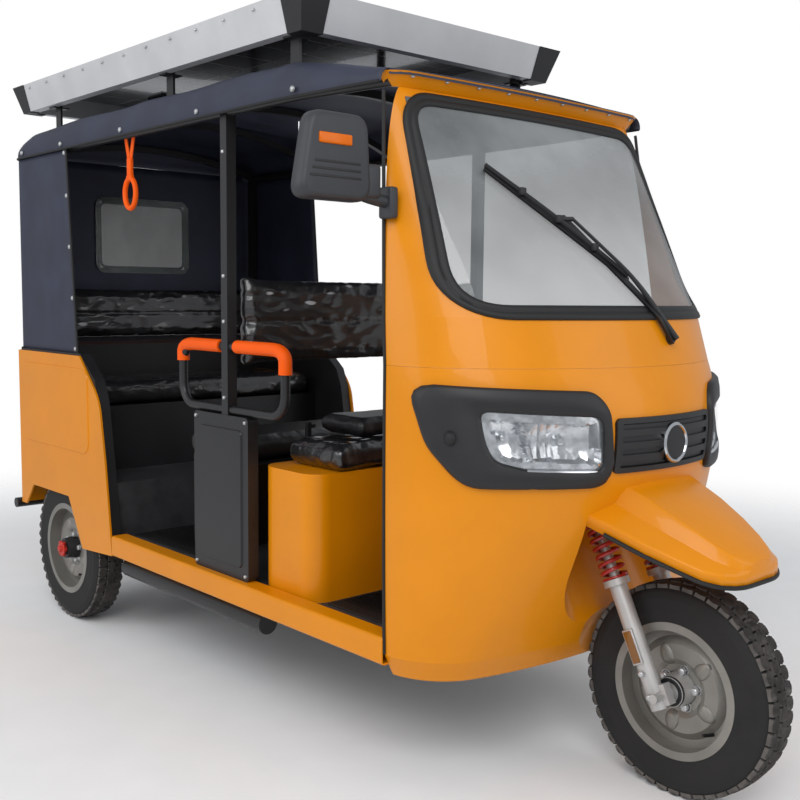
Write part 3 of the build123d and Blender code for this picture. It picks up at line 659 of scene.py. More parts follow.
class Repeater:
    """A Geometry Nodes group that sets one tapered stud on every seat."""

    NAME = "studs"

    def __init__(self) -> None:
        """Build the node group with its named inputs."""
        self.group = bpy.data.node_groups.new(self.NAME, "GeometryNodeTree")
        face = self.group.interface
        face.new_socket("Geometry", in_out="INPUT", socket_type="NodeSocketGeometry")
        kinds = {"Sides": "Int", "Foot": "Float", "Head": "Float", "Height": "Float"}
        kinds |= {"Stretch": "Float", "Dome": "Float", "Spin": "Float"}
        self.inputs = {
            name: face.new_socket(name, in_out="INPUT", socket_type="NodeSocket" + kind).identifier
            for name, kind in kinds.items()
        }
        material = face.new_socket("Material", in_out="INPUT", socket_type="NodeSocketMaterial")
        self.inputs["Material"] = material.identifier
        face.new_socket("Geometry", in_out="OUTPUT", socket_type="NodeSocketGeometry")
        self._wire()

    def _node(
        self, kind: str, links: dict[str, bpy.types.NodeSocket], **settings: object
    ) -> bpy.types.Node:
        """Add a node and link its inputs by name.

        Args:
            kind: The node's type.
            links: Output sockets by input name.
            settings: Properties of the node itself.

        Returns:
            The new node.
        """
        node = self.group.nodes.new(kind)
        for name, value in settings.items():
            setattr(node, name, value)
        for name, value in links.items():
            self.group.links.new(value, node.inputs[name])
        return node

    def _wire(self) -> None:
        """Wire the stud, its seat and the final material."""
        source = self._node("NodeGroupInput", {}).outputs
        stud = {"Vertices": source["Sides"], "Radius Bottom": source["Foot"], "Radius Top": source["Head"]}
        cone = self._node("GeometryNodeMeshCone", stud | {"Depth": source["Height"]})
        ball = self._node("GeometryNodeMeshUVSphere", {"Radius": source["Head"]})
        ball.inputs["Segments"].default_value = 12
        ball.inputs["Rings"].default_value = 6
        lift = self._node("ShaderNodeCombineXYZ", {"Z": source["Height"]})
        flat = self._node("ShaderNodeCombineXYZ", {"Z": source["Dome"]})
        flat.inputs["X"].default_value = flat.inputs["Y"].default_value = 0.92
        moves = {"Geometry": ball.outputs[0], "Translation": lift.outputs[0], "Scale": flat.outputs[0]}
        dome = self._node("GeometryNodeTransform", moves)
        both = self._node("GeometryNodeJoinGeometry", {})
        for part in (cone.outputs["Mesh"], dome.outputs[0]):
            self.group.links.new(part, both.inputs[0])
        spin = self._node("ShaderNodeCombineXYZ", {"Z": source["Spin"]})
        turned = self._node("GeometryNodeTransform", {"Geometry": both.outputs[0]})
        euler = self._node("FunctionNodeEulerToRotation", {0: spin.outputs[0]})
        self.group.links.new(euler.outputs[0], turned.inputs["Rotation"])
        long = self._node("ShaderNodeCombineXYZ", {"X": source["Stretch"]})
        long.inputs["Y"].default_value = long.inputs["Z"].default_value = 1.0
        drawn = {"Geometry": turned.outputs[0], "Scale": long.outputs[0]}
        shaped = self._node("GeometryNodeTransform", drawn)
        ways = {}
        for name in ("along", "facing"):
            ways[name] = self._node("GeometryNodeInputNamedAttribute", {}, data_type="FLOAT_VECTOR")
            ways[name].inputs["Name"].default_value = name
        lengthways = {"Vector": ways["along"].outputs[0]}
        first = self._node("FunctionNodeAlignRotationToVector", lengthways, axis="X")
        second = {"Rotation": first.outputs[0], "Vector": ways["facing"].outputs[0]}
        turn = self._node("FunctionNodeAlignRotationToVector", second, axis="Z", pivot_axis="X")
        seats = {"Points": source["Geometry"], "Instance": shaped.outputs[0], "Rotation": turn.outputs[0]}
        spread = self._node("GeometryNodeInstanceOnPoints", seats)
        real = self._node("GeometryNodeRealizeInstances", {"Geometry": spread.outputs[0]})
        last = {"Geometry": real.outputs[0], "Material": source["Material"]}
        painted = self._node("GeometryNodeSetMaterial", last)
        self._node("NodeGroupOutput", {"Geometry": painted.outputs[0]})

    def stamp(self, name: str, seats: Iterable[Seat], finish: Finish, **sizes: float) -> bpy.types.Object:
        """Make the repeated shapes as one plain mesh.

        Args:
            name: The new object's name.
            seats: Where the shapes sit.
            finish: Their finish.
            sizes: Values of the group's inputs, in metres.

        Returns:
            The object, with no modifier left on it.
        """
        seats = list(seats)
        mesh = bpy.data.meshes.new(name + "_seats")
        mesh.from_pydata([s.point for s in seats], [], [])
        for key in ("facing", "along"):
            layer = mesh.attributes.new(key, "FLOAT_VECTOR", "POINT")
            layer.data.foreach_set("vector", [c for s in seats for c in getattr(s, key)])
        carrier = bpy.data.objects.new(name + "_seats", mesh)
        bpy.context.scene.collection.objects.link(carrier)
        modifier = carrier.modifiers.new("studs", "NODES")
        modifier.node_group = self.group
        values = {"Sides": 16, "Foot": 0.006, "Head": 0.006, "Height": 0.004, "Stretch": 1.0}
        values |= {"Dome": 0.0, "Spin": 0.0} | sizes | {"Material": finish.make()}
        for key, value in values.items():
            modifier[self.inputs[key]] = value
        carrier.update_tag()
        graph = bpy.context.evaluated_depsgraph_get()
        made = bpy.data.meshes.new_from_object(carrier.evaluated_get(graph))
        bpy.data.objects.remove(carrier)
        made.shade_smooth()
        made.set_sharp_from_angle(angle=math.radians(35))
        made.name = name
        thing = bpy.data.objects.new(name, made)
        bpy.context.scene.collection.objects.link(thing)
        return thing


def smooth_path(corners: Points, radius: float, steps: int = 6, loop: bool = False) -> list[Vector]:
    """Round the corners of a path.

    Args:
        corners: The path's corners.
        radius: How far from a corner the bend starts, in millimetres.
        steps: Points along each bend.
        loop: Whether the path closes on itself.

    Returns:
        The points of the rounded path.
    """
    made: list[Vector] = []
    count = len(corners)
    for i, corner in enumerate(corners):
        if not loop and i in (0, count - 1):
            made.append(corner)
            continue
        before, after = corners[i - 1], corners[(i + 1) % count]
        reach = radius * MILLIMETRE
        start = corner + (before - corner).normalized() * min(reach, (before - corner).length / 2)
        end = corner + (after - corner).normalized() * min(reach, (after - corner).length / 2)
        for k in range(steps + 1):
            t = k / steps
            made.append(start * (1 - t) ** 2 + corner * 2 * t * (1 - t) + end * t * t)
    return made


class Axle(Enum):
    """Which end of the vehicle a wheel is on."""

    FRONT = "front"
    REAR = "rear"


@dataclass
class Wheel:
    """A blocked tyre on a pressed rim, with its nuts, valve and hub."""

    name: str
    body: Body
    axle: Axle
    centre: Vector
    outward: float
    crown: float = 260.0
    tread_depth: float = 9.0
    tread_pitch: int = 46

    def build(self, repeater: Repeater) -> None:
        """Make the wheel's pieces.

        Args:
            repeater: The group that sets blocks and nuts.
        """
        axis = Vector((0, self.outward, 0))
        self._tyre(axis, repeater)
        self._rim(axis, repeater)
        dress(SILVER, "rim_" + self.name)
        dress(DARK_HUB if self.axle is Axle.REAR else CAST, "hub_" + self.name)

    def _ring(self, axis: Vector, radius: float, along: float, count: int, offset: float) -> list[Seat]:
        """Seats evenly round the wheel, facing outward from its axle.

        Args:
            axis: The axle's outward direction.
            radius: Distance from the axle in millimetres.
            along: Distance along the axle in millimetres.
            count: How many seats.
            offset: Turn of the first seat, as a share of the pitch.

        Returns:
            The seats.
        """
        seats = []
        for i in range(count):
            a = math.tau * (i + offset) / count
            out = Vector((math.cos(a), 0, math.sin(a)))
            point = self.centre + (out * radius + axis * along) * MILLIMETRE
            seats.append(Seat(point, out, axis))
        return seats

    def _tyre(self, axis: Vector, repeater: Repeater) -> None:
        """Make the carcass with its ribbed walls, and the tread blocks on it.

        Args:
            axis: The axle's outward direction.
            repeater: The group that sets repeated studs.
        """
        base = self.crown - self.tread_depth
        half = [(150.6, 48.8), (164, 49.6), (168, 51.4), (172, 50.6), (188, 51.8), (205, 52), (218, 51.2)]
        half += [(222, 52), (226, 50.6), (236, 48.6), (245, 44), (base - 1.5, 34), (base, 18)]
        profile = [(r, -s) for r, s in half] + [(r, s) for r, s in reversed(half)]
        profile += [(147.6, 40), (147.6, -40)]
        form = Form()
        form.lathe(profile, self.centre, axis, 96, loop=True)
        tyre = form.build("tyre_carcass_" + self.name, 40)
        settle(tyre, TYRE, self.body, "tyre_rubber", "tyre_" + self.name)
        sizes = {"Sides": 4, "Spin": math.pi / 4}
        middle = self._ring(axis, base + 2.0, 0, self.tread_pitch, 0.25)
        sizes |= {"Foot": 0.0215, "Head": 0.0198, "Height": 0.0068}
        blocks = repeater.stamp("tread_middle_" + self.name, middle, TREAD, Stretch=0.86, **sizes)
        settle(blocks, TREAD, self.body, "tyre_rubber")
        seats = []
        for side in (-1, 1):
            for seat in self._ring(axis, base - 4.5, side * 31, self.tread_pitch, 0.75):
                facing = (seat.facing * 0.95 + axis * side * 0.3).normalized()
                seats.append(Seat(seat.point, facing, axis))
        sizes |= {"Foot": 0.0205, "Head": 0.019, "Height": 0.0105}
        blocks = repeater.stamp("tread_edge_" + self.name, seats, TREAD, Stretch=0.9, **sizes)
        settle(blocks, TREAD, self.body, "tyre_rubber")

    def _rim(self, axis: Vector, repeater: Repeater) -> None:
        """Add the pressed ridges, nuts, valve and hub cover to the rim.

        Args:
            axis: The axle's outward direction.
            repeater: The group that sets repeated studs.
        """
        seats = []
        for seat in self._ring(axis, 46 if self.axle is Axle.FRONT else 49, 16.5, 5, 0.1):
            seats.append(Seat(seat.point, axis, seat.facing))
        sizes = {"Sides": 24, "Foot": 0.0135, "Head": 0.0125, "Height": 0.003}
        washers = repeater.stamp("wheel_washers_" + self.name, seats, ZINC, **sizes)
        settle(washers, ZINC, self.body, "cast_metal")
        sizes = {"Sides": 6, "Foot": 0.0105, "Head": 0.0098, "Height": 0.014, "Dome": 0.3}
        nuts = repeater.stamp("wheel_nuts_" + self.name, seats, ZINC, **sizes)
        settle(nuts, ZINC, self.body, "cast_metal")
        self._ridges(axis)
        form = Form()
        out = Vector((math.cos(5.5), 0, math.sin(5.5)))
        foot = self.centre + (out * 128 + axis * 12) * MILLIMETRE
        stem = ((0, 0), (22, 5), (34, 9))
        form.tube([foot + (axis * far - out * lean) * MILLIMETRE for far, lean in stem], 0.0042)
        settle(form.build("valve_" + self.name), RUBBER, self.body, "seal_rubber")
        form = Form()
        if self.axle is Axle.FRONT:
            rings = [(24, 62.4), (34, 62.4), (37, 60), (37, 52), (22, 52), (21, 56)]
            form.lathe(rings, self.centre, axis, 40, loop=True)
            settle(form.build("hub_ring_" + self.name), DARK_HUB, self.body, "dark_hub")
            return
        cap = [(0, 58.4), (17, 58.4), (17, 64), (25, 66), (27, 72), (12, 74), (10, 82), (0, 83)]
        form.lathe(cap, self.centre, axis, 32)
        for seat in self._ring(axis, 24, 68, 6, 0):
            turn = Matrix.Rotation(math.atan2(seat.facing.x, seat.facing.z), 3, "Y")
            form.slab(seat.point, (10, 13, 9), 1.5, turn)
        settle(form.build("hub_cap_" + self.name), HUB_RED, self.body, "spring_red")


    def _ridges(self, axis: Vector) -> None:
        """Press five low ridges, a star, into the rim's disc.

        Args:
            axis: The axle's outward direction.
        """
        skin = Surface("rim_" + self.name)
        form = Form()
        for k in range(5):
            turn = math.tau * (k + 0.6) / 5
            rows = []
            for i in range(13):
                t = i / 12
                radius = 58 + 56 * t
                wide = 17 * math.sin(math.pi * (0.12 + 0.8 * t)) + 3
                row = []
                for j in range(-4, 5):
                    a = turn + wide * j / 4 / radius
                    out = Vector((math.cos(a), 0, math.sin(a)))
                    start = self.centre + (out * radius + axis * 120) * MILLIMETRE
                    found = skin.hit(start, -axis)
                    swell = max(0.0, 1 - (j / 4) ** 2) * math.sin(math.pi * t) ** 0.7
                    lift = axis * (7 * swell - 0.6) * MILLIMETRE
                    row.append((found[0] if found else start - axis * 0.1) + lift)
                rows.append(row)
            form.grid(rows)
        star = thicken(form.build("rim_star_" + self.name, 60), 1.5)
        settle(star, SILVER, self.body, "wheel_silver")


@dataclass
class Fork:
    """Coil springs, reflectors, bar grips and levers on the steered fork."""

    leg_side: float = 90.0
    leg_ahead: float = -20.0
    coil_radius: float = 28.0
    wire: float = 5.2
    turns: float = 9.0
    reflector_up: float = 125.0

    def build(self, repeater: Repeater) -> None:
        """Make the fork's pieces.

        Args:
            repeater: The group that sets bolts.
        """
        dress(CAST, "fork")
        dress(BLACK_PAINT, "handlebar")
        self._springs()
        self._reflectors()
        self._controls()
        up = (steer(0, 0, 1000) - steer(0, 0, 0)).normalized()
        ahead = (steer(1000, 0, 0) - steer(0, 0, 0)).normalized()
        seats = [Seat(steer(37, side * 60, 500), ahead, up) for side in (-1, 1)]
        for side in (-1, 1):
            out = Vector((0, side, 0))
            seats += [Seat(steer(-20, side * 112, up), out, ahead) for up in (4, 60)]
        sizes = {"Sides": 6, "Foot": 0.009, "Head": 0.008, "Height": 0.008, "Dome": 0.4}
        bolts = repeater.stamp("fork_bolts", seats, ZINC, **sizes)
        settle(bolts, ZINC, Body.STEERING, "cast_metal")

    def _springs(self) -> None:
        """Wind a coil round each leg in place of the plain sleeves."""
        form = Form()
        steps = int(self.turns * 22)
        for side in (-1, 1):
            path = []
            for i in range(steps + 1):
                t = i / steps
                a = math.tau * self.turns * t
                up = 296 + 184 * t
                ahead = self.leg_ahead + self.coil_radius * math.cos(a)
                path.append(steer(ahead, side * self.leg_side + self.coil_radius * math.sin(a), up))
            form.tube(path, self.wire * MILLIMETRE, 8)
            for up in (293.5, 482.5):
                ring = [steer(self.leg_ahead + 29 * math.cos(a), side * self.leg_side + 29 * math.sin(a), up)
                        for a in (math.tau * k / 40 for k in range(40))]
                form.tube(ring, 0.0035, 8, loop=True)
        settle(form.build("fork_coils"), SPRING_RED, Body.STEERING, "spring_red", "fork_springs")

    def _reflectors(self) -> None:
        """Set a framed amber reflector on the outside of each leg."""
        turn = Matrix.Rotation(-RAKE, 3, "Y")
        lens, back = Form(), Form()
        for side in (-1, 1):
            back.slab(steer(-20, side * 113.5, self.reflector_up), (30, 7, 86), 2.5, turn)
            lens.slab(steer(-20, side * 117.5, self.reflector_up), (22, 5, 77), 2, turn)
        settle(back.build("reflector_frames"), CAST, Body.STEERING, "cast_metal")
        settle(lens.build("reflectors"), DULL_AMBER, Body.STEERING, "orange_plastic")

    def _controls(self) -> None:
        """Add bar grips, levers and the switch boxes."""
        grips, levers = Form(), Form()
        for side in (-1, 1):
            end = Vector((707, side * 320, 1148))
            way = (end - Vector((777, side * 210, 1148))).normalized()
            for i in range(15):
                centre = end - way * (8 + i * 7.4)
                grips.lathe([(11.4, -3.4), (16.5, -2.6), (16.5, 2.6), (11.4, 3.4)], at(*centre), way, 20)
            grips.lathe([(11.2, -112), (15, -111), (15, 2), (11, 4), (0, 4.5)], at(*end), way, 20)
            levers.slab(at(*(end - way * 136)), (46, 42, 44), 8)
            start = end - way * 128 + Vector((26, 0, 4))
            path = [start, start + way * 40 + Vector((22, 0, 0)), start + way * 120 + Vector((14, 0, -6))]
            levers.tube(smooth_path([at(*p) for p in path], 30), 0.006, end=0.7)
        settle(grips.build("bar_grips"), RUBBER, Body.STEERING, "seal_rubber")
        settle(levers.build("bar_levers"), BLACK_PLASTIC, Body.STEERING, "black_plastic")


@dataclass
class Cab:
    """The painted shell, its glass and edge rubbers, screws, badge and wiper."""

    badge_radius: float = 49.0
    guard_lip: float = 26.0
    screen_top: tuple[tuple[float, float], ...] = ((-482, 1418), (-458, 1690), (458, 1690), (482, 1418))
    screen_foot: tuple[tuple[float, float], ...] = ((482, 1418), (506, 1146), (-506, 1146), (-482, 1418))
    seal_section: tuple[tuple[float, float], ...] = (
        (-1, -1),
        (-1, 4),
        (3, 7.5),
        (10, 8),
        (14, 4.5),
        (17, 4.5),
        (20, 7),
        (28, 6.5),
        (32, 3),
        (32, -1),
    )
    guard_rows: tuple[tuple[float, float, float, float], ...] = (
        (1062, 236, 680, 811),
        (1150, 217, 649, 768),
        (1250, 196, 613, 722),
        (1320, 172, 588, 684),
        (1370, 149, 568, 653),
        (1402, 122, 560, 632),
        (1420, 90, 557, 618),
        (1428, 58, 556, 610),
    )

    def build(self, repeater: Repeater) -> None:
        """Make the cab's pieces.

        Args:
            repeater: The group that sets screws.
        """
        dress(ORANGE, "lower_cowl", "upper_cowl", "wheel_well", "sill_right", "sill_left")
        dress(ORANGE, "rear_side_right", "rear_side_left", "tail_panel", "driver_base")
        dress(BLACK_PLASTIC, "dashboard", "grille", "wiper")
        dress(GLASS, "windscreen")
        self._edges()
        self._seal()
        self._mudguard()
        self._grille_back()
        self._badge()
        self._screws(repeater)
        self._wiper()

    def _edges(self) -> None:
        """Run rubber along the cab's rear edges, and bind the visor's upper edge."""
        form = Form()
        for side in (-1, 1):
            rows = [(757, 548, 335), (757, 551.5, 600), (757, 553, 850), (757, 553, 1035)]
            rows += [(744, 546.5, 1150), (713, 523, 1425), (684, 501.5, 1685)]
            form.tube([at(x, side * y, z) for x, y, z in rows], 0.0045, 8)
        settle(form.build("door_edges"), RUBBER, Body.VEHICLE, "seal_rubber")
        self._visor_strip()

    def _seal(self) -> None:
        """Bed the screen in a rubber with two beads and rounded corners."""
        skins = (Surface("windscreen"), Surface("upper_cowl"))
        path: list[Vector] = []
        for corners, radius in ((self.screen_top, 94), (self.screen_foot, 135)):
            bent = smooth_path([Vector((0, y, z)) * MILLIMETRE for y, z in corners], radius, 12)
            for first, last in zip(bent, bent[1:]):
                parts = max(1, round((last - first).length / 0.02))
                path += [first.lerp(last, k / parts) for k in range(parts)]
        rows = []
        for k, point in enumerate(path):
            along = (path[(k + 1) % len(path)] - path[k - 1]).normalized()
            inward = Vector((0, along.z, -along.y))
            row = []
            for far, lift in self.seal_section:
                where = (point + inward * far * MILLIMETRE) / MILLIMETRE
                row.append(self._on_screen(skins, where.y, where.z, lift))
            rows.append(row)
        form = Form()
        form.grid(rows, loop_u=True, loop_v=True)
        settle(form.build("screen_rubber", 60), RUBBER, Body.VEHICLE, "seal_rubber", "screen_seal")

    def _on_screen(self, skins: Sequence[Surface], y: float, z: float, lift: float) -> Vector:
        """A point that stands off the glass or the shell round it.

        Args:
            skins: The glass and the shell.
            y: Distance to the left in millimetres.
            z: Height in millimetres.
            lift: How far it stands off in millimetres.

        Returns:
            The point.
        """
        for side, rise in ((0, 0), (3, 0), (-3, 0), (0, -3), (0, 3), (5, -5), (-5, -5), (5, 5), (-5, 5)):
            for skin in skins:
                found = skin.hit(at(1500, y + side, z + rise), Vector((-1, 0, 0)))
                if found and found[1].x > 0.2:
                    return found[0] - Vector((0, side, rise)) * MILLIMETRE + found[1] * lift * MILLIMETRE
        raise ValueError(f"no screen at {y}, {z}")

    def _guard_row(self, x: float, half: float, low: float, top: float) -> list[Vector]:
        """One section of the mudguard, from its left lip over the middle to the right.

        Args:
            x: Forward distance in millimetres.
            half: Half the width.
            low: Height of the lip's foot.
            top: Height of the middle.

        Returns:
            The section's points.
        """
        lip = low + self.guard_lip
        flat = half * 0.6
        edge = top - 0.06 * half
        side = [(half, low), (half, lip), (half - 4, lip + 5), (half - 8, lip + 7)]
        side += [(flat + 0.13 * half, lip + 0.42 * (edge - lip)), (flat + 6, edge - 5), (flat, edge)]
        side += [(flat - 6, edge + 1), (flat * 0.5, top - 0.012 * half), (0, top)]
        return [at(x, y, z) for y, z in side] + [at(x, -y, z) for y, z in reversed(side[:-1])]

    def _mudguard(self) -> None:
        """Press the beak with a raised middle, sloping sides and a rolled lip."""
        rows = []
        for first, last in zip(self.guard_rows, self.guard_rows[1:]):
            for k in range(4):
                rows.append(self._guard_row(*(a + (b - a) * k / 4 for a, b in zip(first, last))))
        rows.append(self._guard_row(*self.guard_rows[-1]))
        form = Form()
        made = form.grid(rows)
        form.mesh.faces.new(made[-1])
        guard = thicken(form.build("mudguard_shell", 24), 4.0)
        settle(guard, ORANGE, Body.VEHICLE, "orange_paint", "front_mudguard")
        right = [at(x, -y, z + 1) for x, y, z, _ in self.guard_rows[1:]]
        left = [at(x, y, z + 1) for x, y, z, _ in reversed(self.guard_rows[1:])]
        form = Form()
        form.tube(smooth_path(right + left, 30), 0.0055, 8)
        settle(form.build("mudguard_edge"), RUBBER, Body.VEHICLE, "seal_rubber")

    def _grille_back(self) -> None:
        """Lay a dark sheet on the shell behind the grille's bars."""
        skin = Surface("lower_cowl")
        rows = []
        for i in range(27):
            row = []
            for j in range(10):
                found = skin.hit(at(1500, -182 + 14 * i, 798 + 12.6 * j), Vector((-1, 0, 0)))
                if found:
                    row.append(found[0] + found[1] * 1.6 * MILLIMETRE)
            rows.append(row)
        form = Form()
        form.grid(rows)
        back = thicken(form.build("grille_back", 60), 1.0)
        settle(back, BLACK_PLASTIC, Body.VEHICLE, "black_plastic")

    def _visor_strip(self) -> None:
        """Bind the visor's upper edge with the end of the roof cloth."""
        skin, cloth = Surface("upper_cowl"), Surface("canopy_roof")
        down = Vector((0, 0, -1))
        rows = []
        for i in range(-24, 25):
            y = i * 21.2
            found = skin.hit(at(1300, y, 1727), Vector((-1, 0, 0)))
            roof = cloth.hit(at(672, y, 2100), down)
            if found and roof:
                lip = found[0] + Vector((0.002, 0, -0.004))
                tail = roof[0] + down * 0.001
                inner = lip + Vector((-0.006, 0, 0.009))
                rows.append([lip, lip - down * 0.012, tail, tail + down * 0.002, inner])
        form = Form()
        made = form.grid(rows, loop_v=True)
        form.mesh.faces.new(made[0])
        form.mesh.faces.new(made[-1])
        settle(form.build("visor_binding"), TARPAULIN, Body.VEHICLE, "canopy_cloth")

    def _badge(self) -> None:
        """Set a plain ringed disc in the middle of the grille."""
        form = Form()
        seat = at(1186, 0, 853)
        axis = Vector((1, 0, 0.04))
        size = self.badge_radius
        form.lathe([(size, -8), (size, 6), (size - 3, 9), (size - 7, 9), (size - 9, 6)], seat, axis, 48)
        settle(form.build("badge_ring"), CHROME, Body.VEHICLE, "cast_metal")
        form = Form()
        form.lathe([(0, 7.5), (size * 0.5, 7), (size - 8.6, 5.4), (size - 8.6, -6), (0, -6)], seat, axis, 48)
        settle(form.build("badge_disc"), BLACK_PLASTIC, Body.VEHICLE, "black_plastic")

    def _screws(self, repeater: Repeater) -> None:
        """Set screws along the visor and the door edges.

        Args:
            repeater: The group that sets repeated studs.
        """
        skin = Surface("upper_cowl")
        seats = []
        for i in range(-4, 5):
            found = skin.hit(at(1300, i * 108, 1722), Vector((-1, 0, 0)))
            if found:
                seats.append(Seat(*found))
        for side in (-1, 1):
            for z in (1056, 1078, 1010, 620, 420):
                name = "upper_cowl" if z > 1035 else "lower_cowl"
                found = Surface(name).hit(at(742, side * 900, z), Vector((0, -side, 0)))
                if found:
                    seats.append(Seat(*found))
        sizes = {"Foot": 0.0058, "Head": 0.0052, "Height": 0.0022, "Dome": 0.4}
        screws = repeater.stamp("cab_screws", seats, ZINC, **sizes)
        settle(screws, ZINC, Body.VEHICLE, "cast_metal")

    def _wiper(self) -> None:
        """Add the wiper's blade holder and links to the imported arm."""
        glass = Surface("windscreen")
        cowl = Surface("upper_cowl")

        def over(y: float, z: float, lift: float) -> Vector:
            """Find the point a little outside the glass or shell at a place in front view.

            Args:
                y: Distance to the left in millimetres.
                z: Height in millimetres.
                lift: How far it stands off in millimetres.

            Returns:
                The point.
            """
            start = at(1400, y, z)
            found = glass.hit(start, Vector((-1, 0, 0))) or cowl.hit(start, Vector((-1, 0, 0)))
            return found[0] + found[1] * lift * MILLIMETRE

        form = Form()
        low, high = (-24, 1242), (-299, 1507)
        spine = []
        for i in range(13):
            t = i / 12
            y, z = (a + (b - a) * t for a, b in zip(low, high))
            spine.append(over(y, z, 17 + 5 * math.sin(math.pi * t)))
        form.tube(spine, 0.005, 6)
        for t in (0.22, 0.5, 0.78):
            form.slab(spine[round(t * 12)], (16, 20, 20), 4)
        arm = [over(57, 1093, 22), over(-30, 1233, 32), over(-120, 1374, 26), over(-154, 1370, 24)]
        form.tube(smooth_path(arm[:3], 60), 0.0068, 8, end=0.6)
        form.tube([arm[2], spine[6]], 0.006, 6)
        settle(form.build("wiper_links"), BLACK_PLASTIC, Body.VEHICLE, "black_plastic")


@dataclass
class Lamps:
    """Headlamps with bright bowls behind clear lenses, and the tail lamps."""

    bowl_depth: float = 30.0
    facing: tuple[float, float] = (0.785, 0.62)
    corner: tuple[float, float] = (1000.0, 400.0)
    cap_place: tuple[float, float] = (-128.0, 880.0)
    middle: tuple[float, float] = (85.0, 872.0)
    dishes: tuple[tuple[float, float, float, float], ...] = ((-8, 880, 62, 8), (140, 868, 88, 11))
    spokes: int = 120
    bezel: tuple[tuple[float, float], ...] = (
        (-215, 975),
        (-186, 999),
        (205, 983),
        (242, 944),
        (257, 790),
        (222, 760),
        (-81, 766),
        (-118, 788),
        (-180, 859),
    )
    lens: tuple[tuple[float, float], ...] = (
        (-64, 941),
        (224, 925),
        (231, 799),
        (50, 808),
        (-28, 828),
        (-50, 868),
    )

    def build(self, repeater: Repeater) -> None:
        """Make the lamps' pieces.

        Args:
            repeater: The group that sets caps and screws.
        """
        dress(RED_LENS, "tail_lamps")
        self.skins = {node: Surface(node) for node in ("headlamp_bezels", "headlamps", "lower_cowl")}
        forms = {name: Form() for name in ("bezel", "lens", "bowl", "bulb", "lip")}
        for side in (-1, 1):
            self._head(side, forms)
        vehicle = Body.VEHICLE
        bezels = forms["bezel"].build("lamp_bezels", 50)
        settle(bezels, BLACK_PLASTIC, vehicle, "black_plastic", "headlamp_bezels")
        settle(forms["lens"].build("lamp_lenses"), LENS, vehicle, "lamp_lens", "headlamps")
        settle(forms["bowl"].build("lamp_bowls", 14), LAMP_BOWL, vehicle, "wheel_silver")
        settle(forms["bulb"].build("lamp_bulbs"), CHROME, vehicle, "cast_metal")
        settle(forms["lip"].build("lamp_lips"), CHROME, vehicle, "cast_metal")
        seats = []
        for side in (-1, 1):
            seats.append(Seat(self._lift(side, self.cap_place, 15), self._way(side)))
        sizes = {"Foot": 0.017, "Head": 0.015, "Height": 0.006, "Dome": 0.3, "Sides": 24}
        caps = repeater.stamp("bezel_caps", seats, RUBBER, **sizes)
        settle(caps, RUBBER, Body.VEHICLE, "black_plastic")
        self._tail(repeater)

    def _way(self, side: int) -> Vector:
        """The direction that a headlamp faces."""
        return Vector((self.facing[0], side * self.facing[1], 0)).normalized()

    def _front(self, side: int, across: float, up: float) -> Vector:
        """A point of the plane that a headlamp's outline is drawn on."""
        ahead, out = self.facing
        return at(self.corner[0] + out * across, side * (self.corner[1] - ahead * across), up)

    def _skin(self, side: int, across: float, up: float) -> tuple[Vector, Vector]:
        """The shell's point and direction behind a place of a headlamp's plane.

        Args:
            side: Minus one for the right, one for the left.
            across: Distance across the lamp's plane in millimetres.
            up: Height in millimetres.

        Returns:
            The point and the outward direction.
        """
        way = self._way(side)
        start = self._front(side, across, up) + way * 0.3
        for node, proud in (("headlamp_bezels", 9.0), ("headlamps", 7.0), ("lower_cowl", 0.0)):
            found = self.skins[node].hit(start, -way)
            if found:
                return found[0] - found[1] * proud * MILLIMETRE, found[1]
        return start - way * 0.25, way

    def _outline(self, corners: Sequence[tuple[float, float]], radius: float) -> list[tuple[float, float]]:
        """A rounded outline as points at even angles round the lens's middle.

        Args:
            corners: The outline's corners, across and up.
            radius: How far from a corner the bend starts.

        Returns:
            The points, across and up.
        """
        bent = smooth_path([Vector((a, u, 0)) * MILLIMETRE for a, u in corners], radius, loop=True)
        path = [(p / MILLIMETRE).to_2d() - Vector(self.middle) for p in bent]
        made = []
        for k in range(self.spokes):
            angle = math.tau * k / self.spokes
            way = Vector((math.cos(angle), math.sin(angle)))
            best = 0.0
            for p, q in zip(path, path[1:] + path[:1]):
                edge = q - p
                cross = way.x * edge.y - way.y * edge.x
                if abs(cross) < 1e-9:
                    continue
                far = (p.x * edge.y - p.y * edge.x) / cross
                share = (p.x * way.y - p.y * way.x) / cross
                if far > best and -1e-6 <= share <= 1 + 1e-6:
                    best = far
            made.append((self.middle[0] + way.x * best, self.middle[1] + way.y * best))
        return made

    def _lift(self, side: int, place: tuple[float, float], lift: float) -> Vector:
        """A point that stands off the shell by some millimetres."""
        point, way = self._skin(side, *place)
        return point + way * lift * MILLIMETRE

    def _dish(self, across: float, up: float) -> float:
        """How deep the bright bowl is at a place, in millimetres.

        Args:
            across: Distance across the lamp's plane in millimetres.
            up: Height in millimetres.

        Returns:
            The depth.
        """
        ridge = (across - 44) * 0.95 + (up - 872) * 0.31
        if abs(ridge) < 6:
            return 8.0
        x, z, wide, _ = self.dishes[0 if ridge < 0 else 1]
        far = ((across - x) / wide) ** 2 + ((up - z) / 70) ** 2
        return 14 + self.bowl_depth * max(0.0, 1 - far) + 2.0 * abs(math.sin(across / 8))

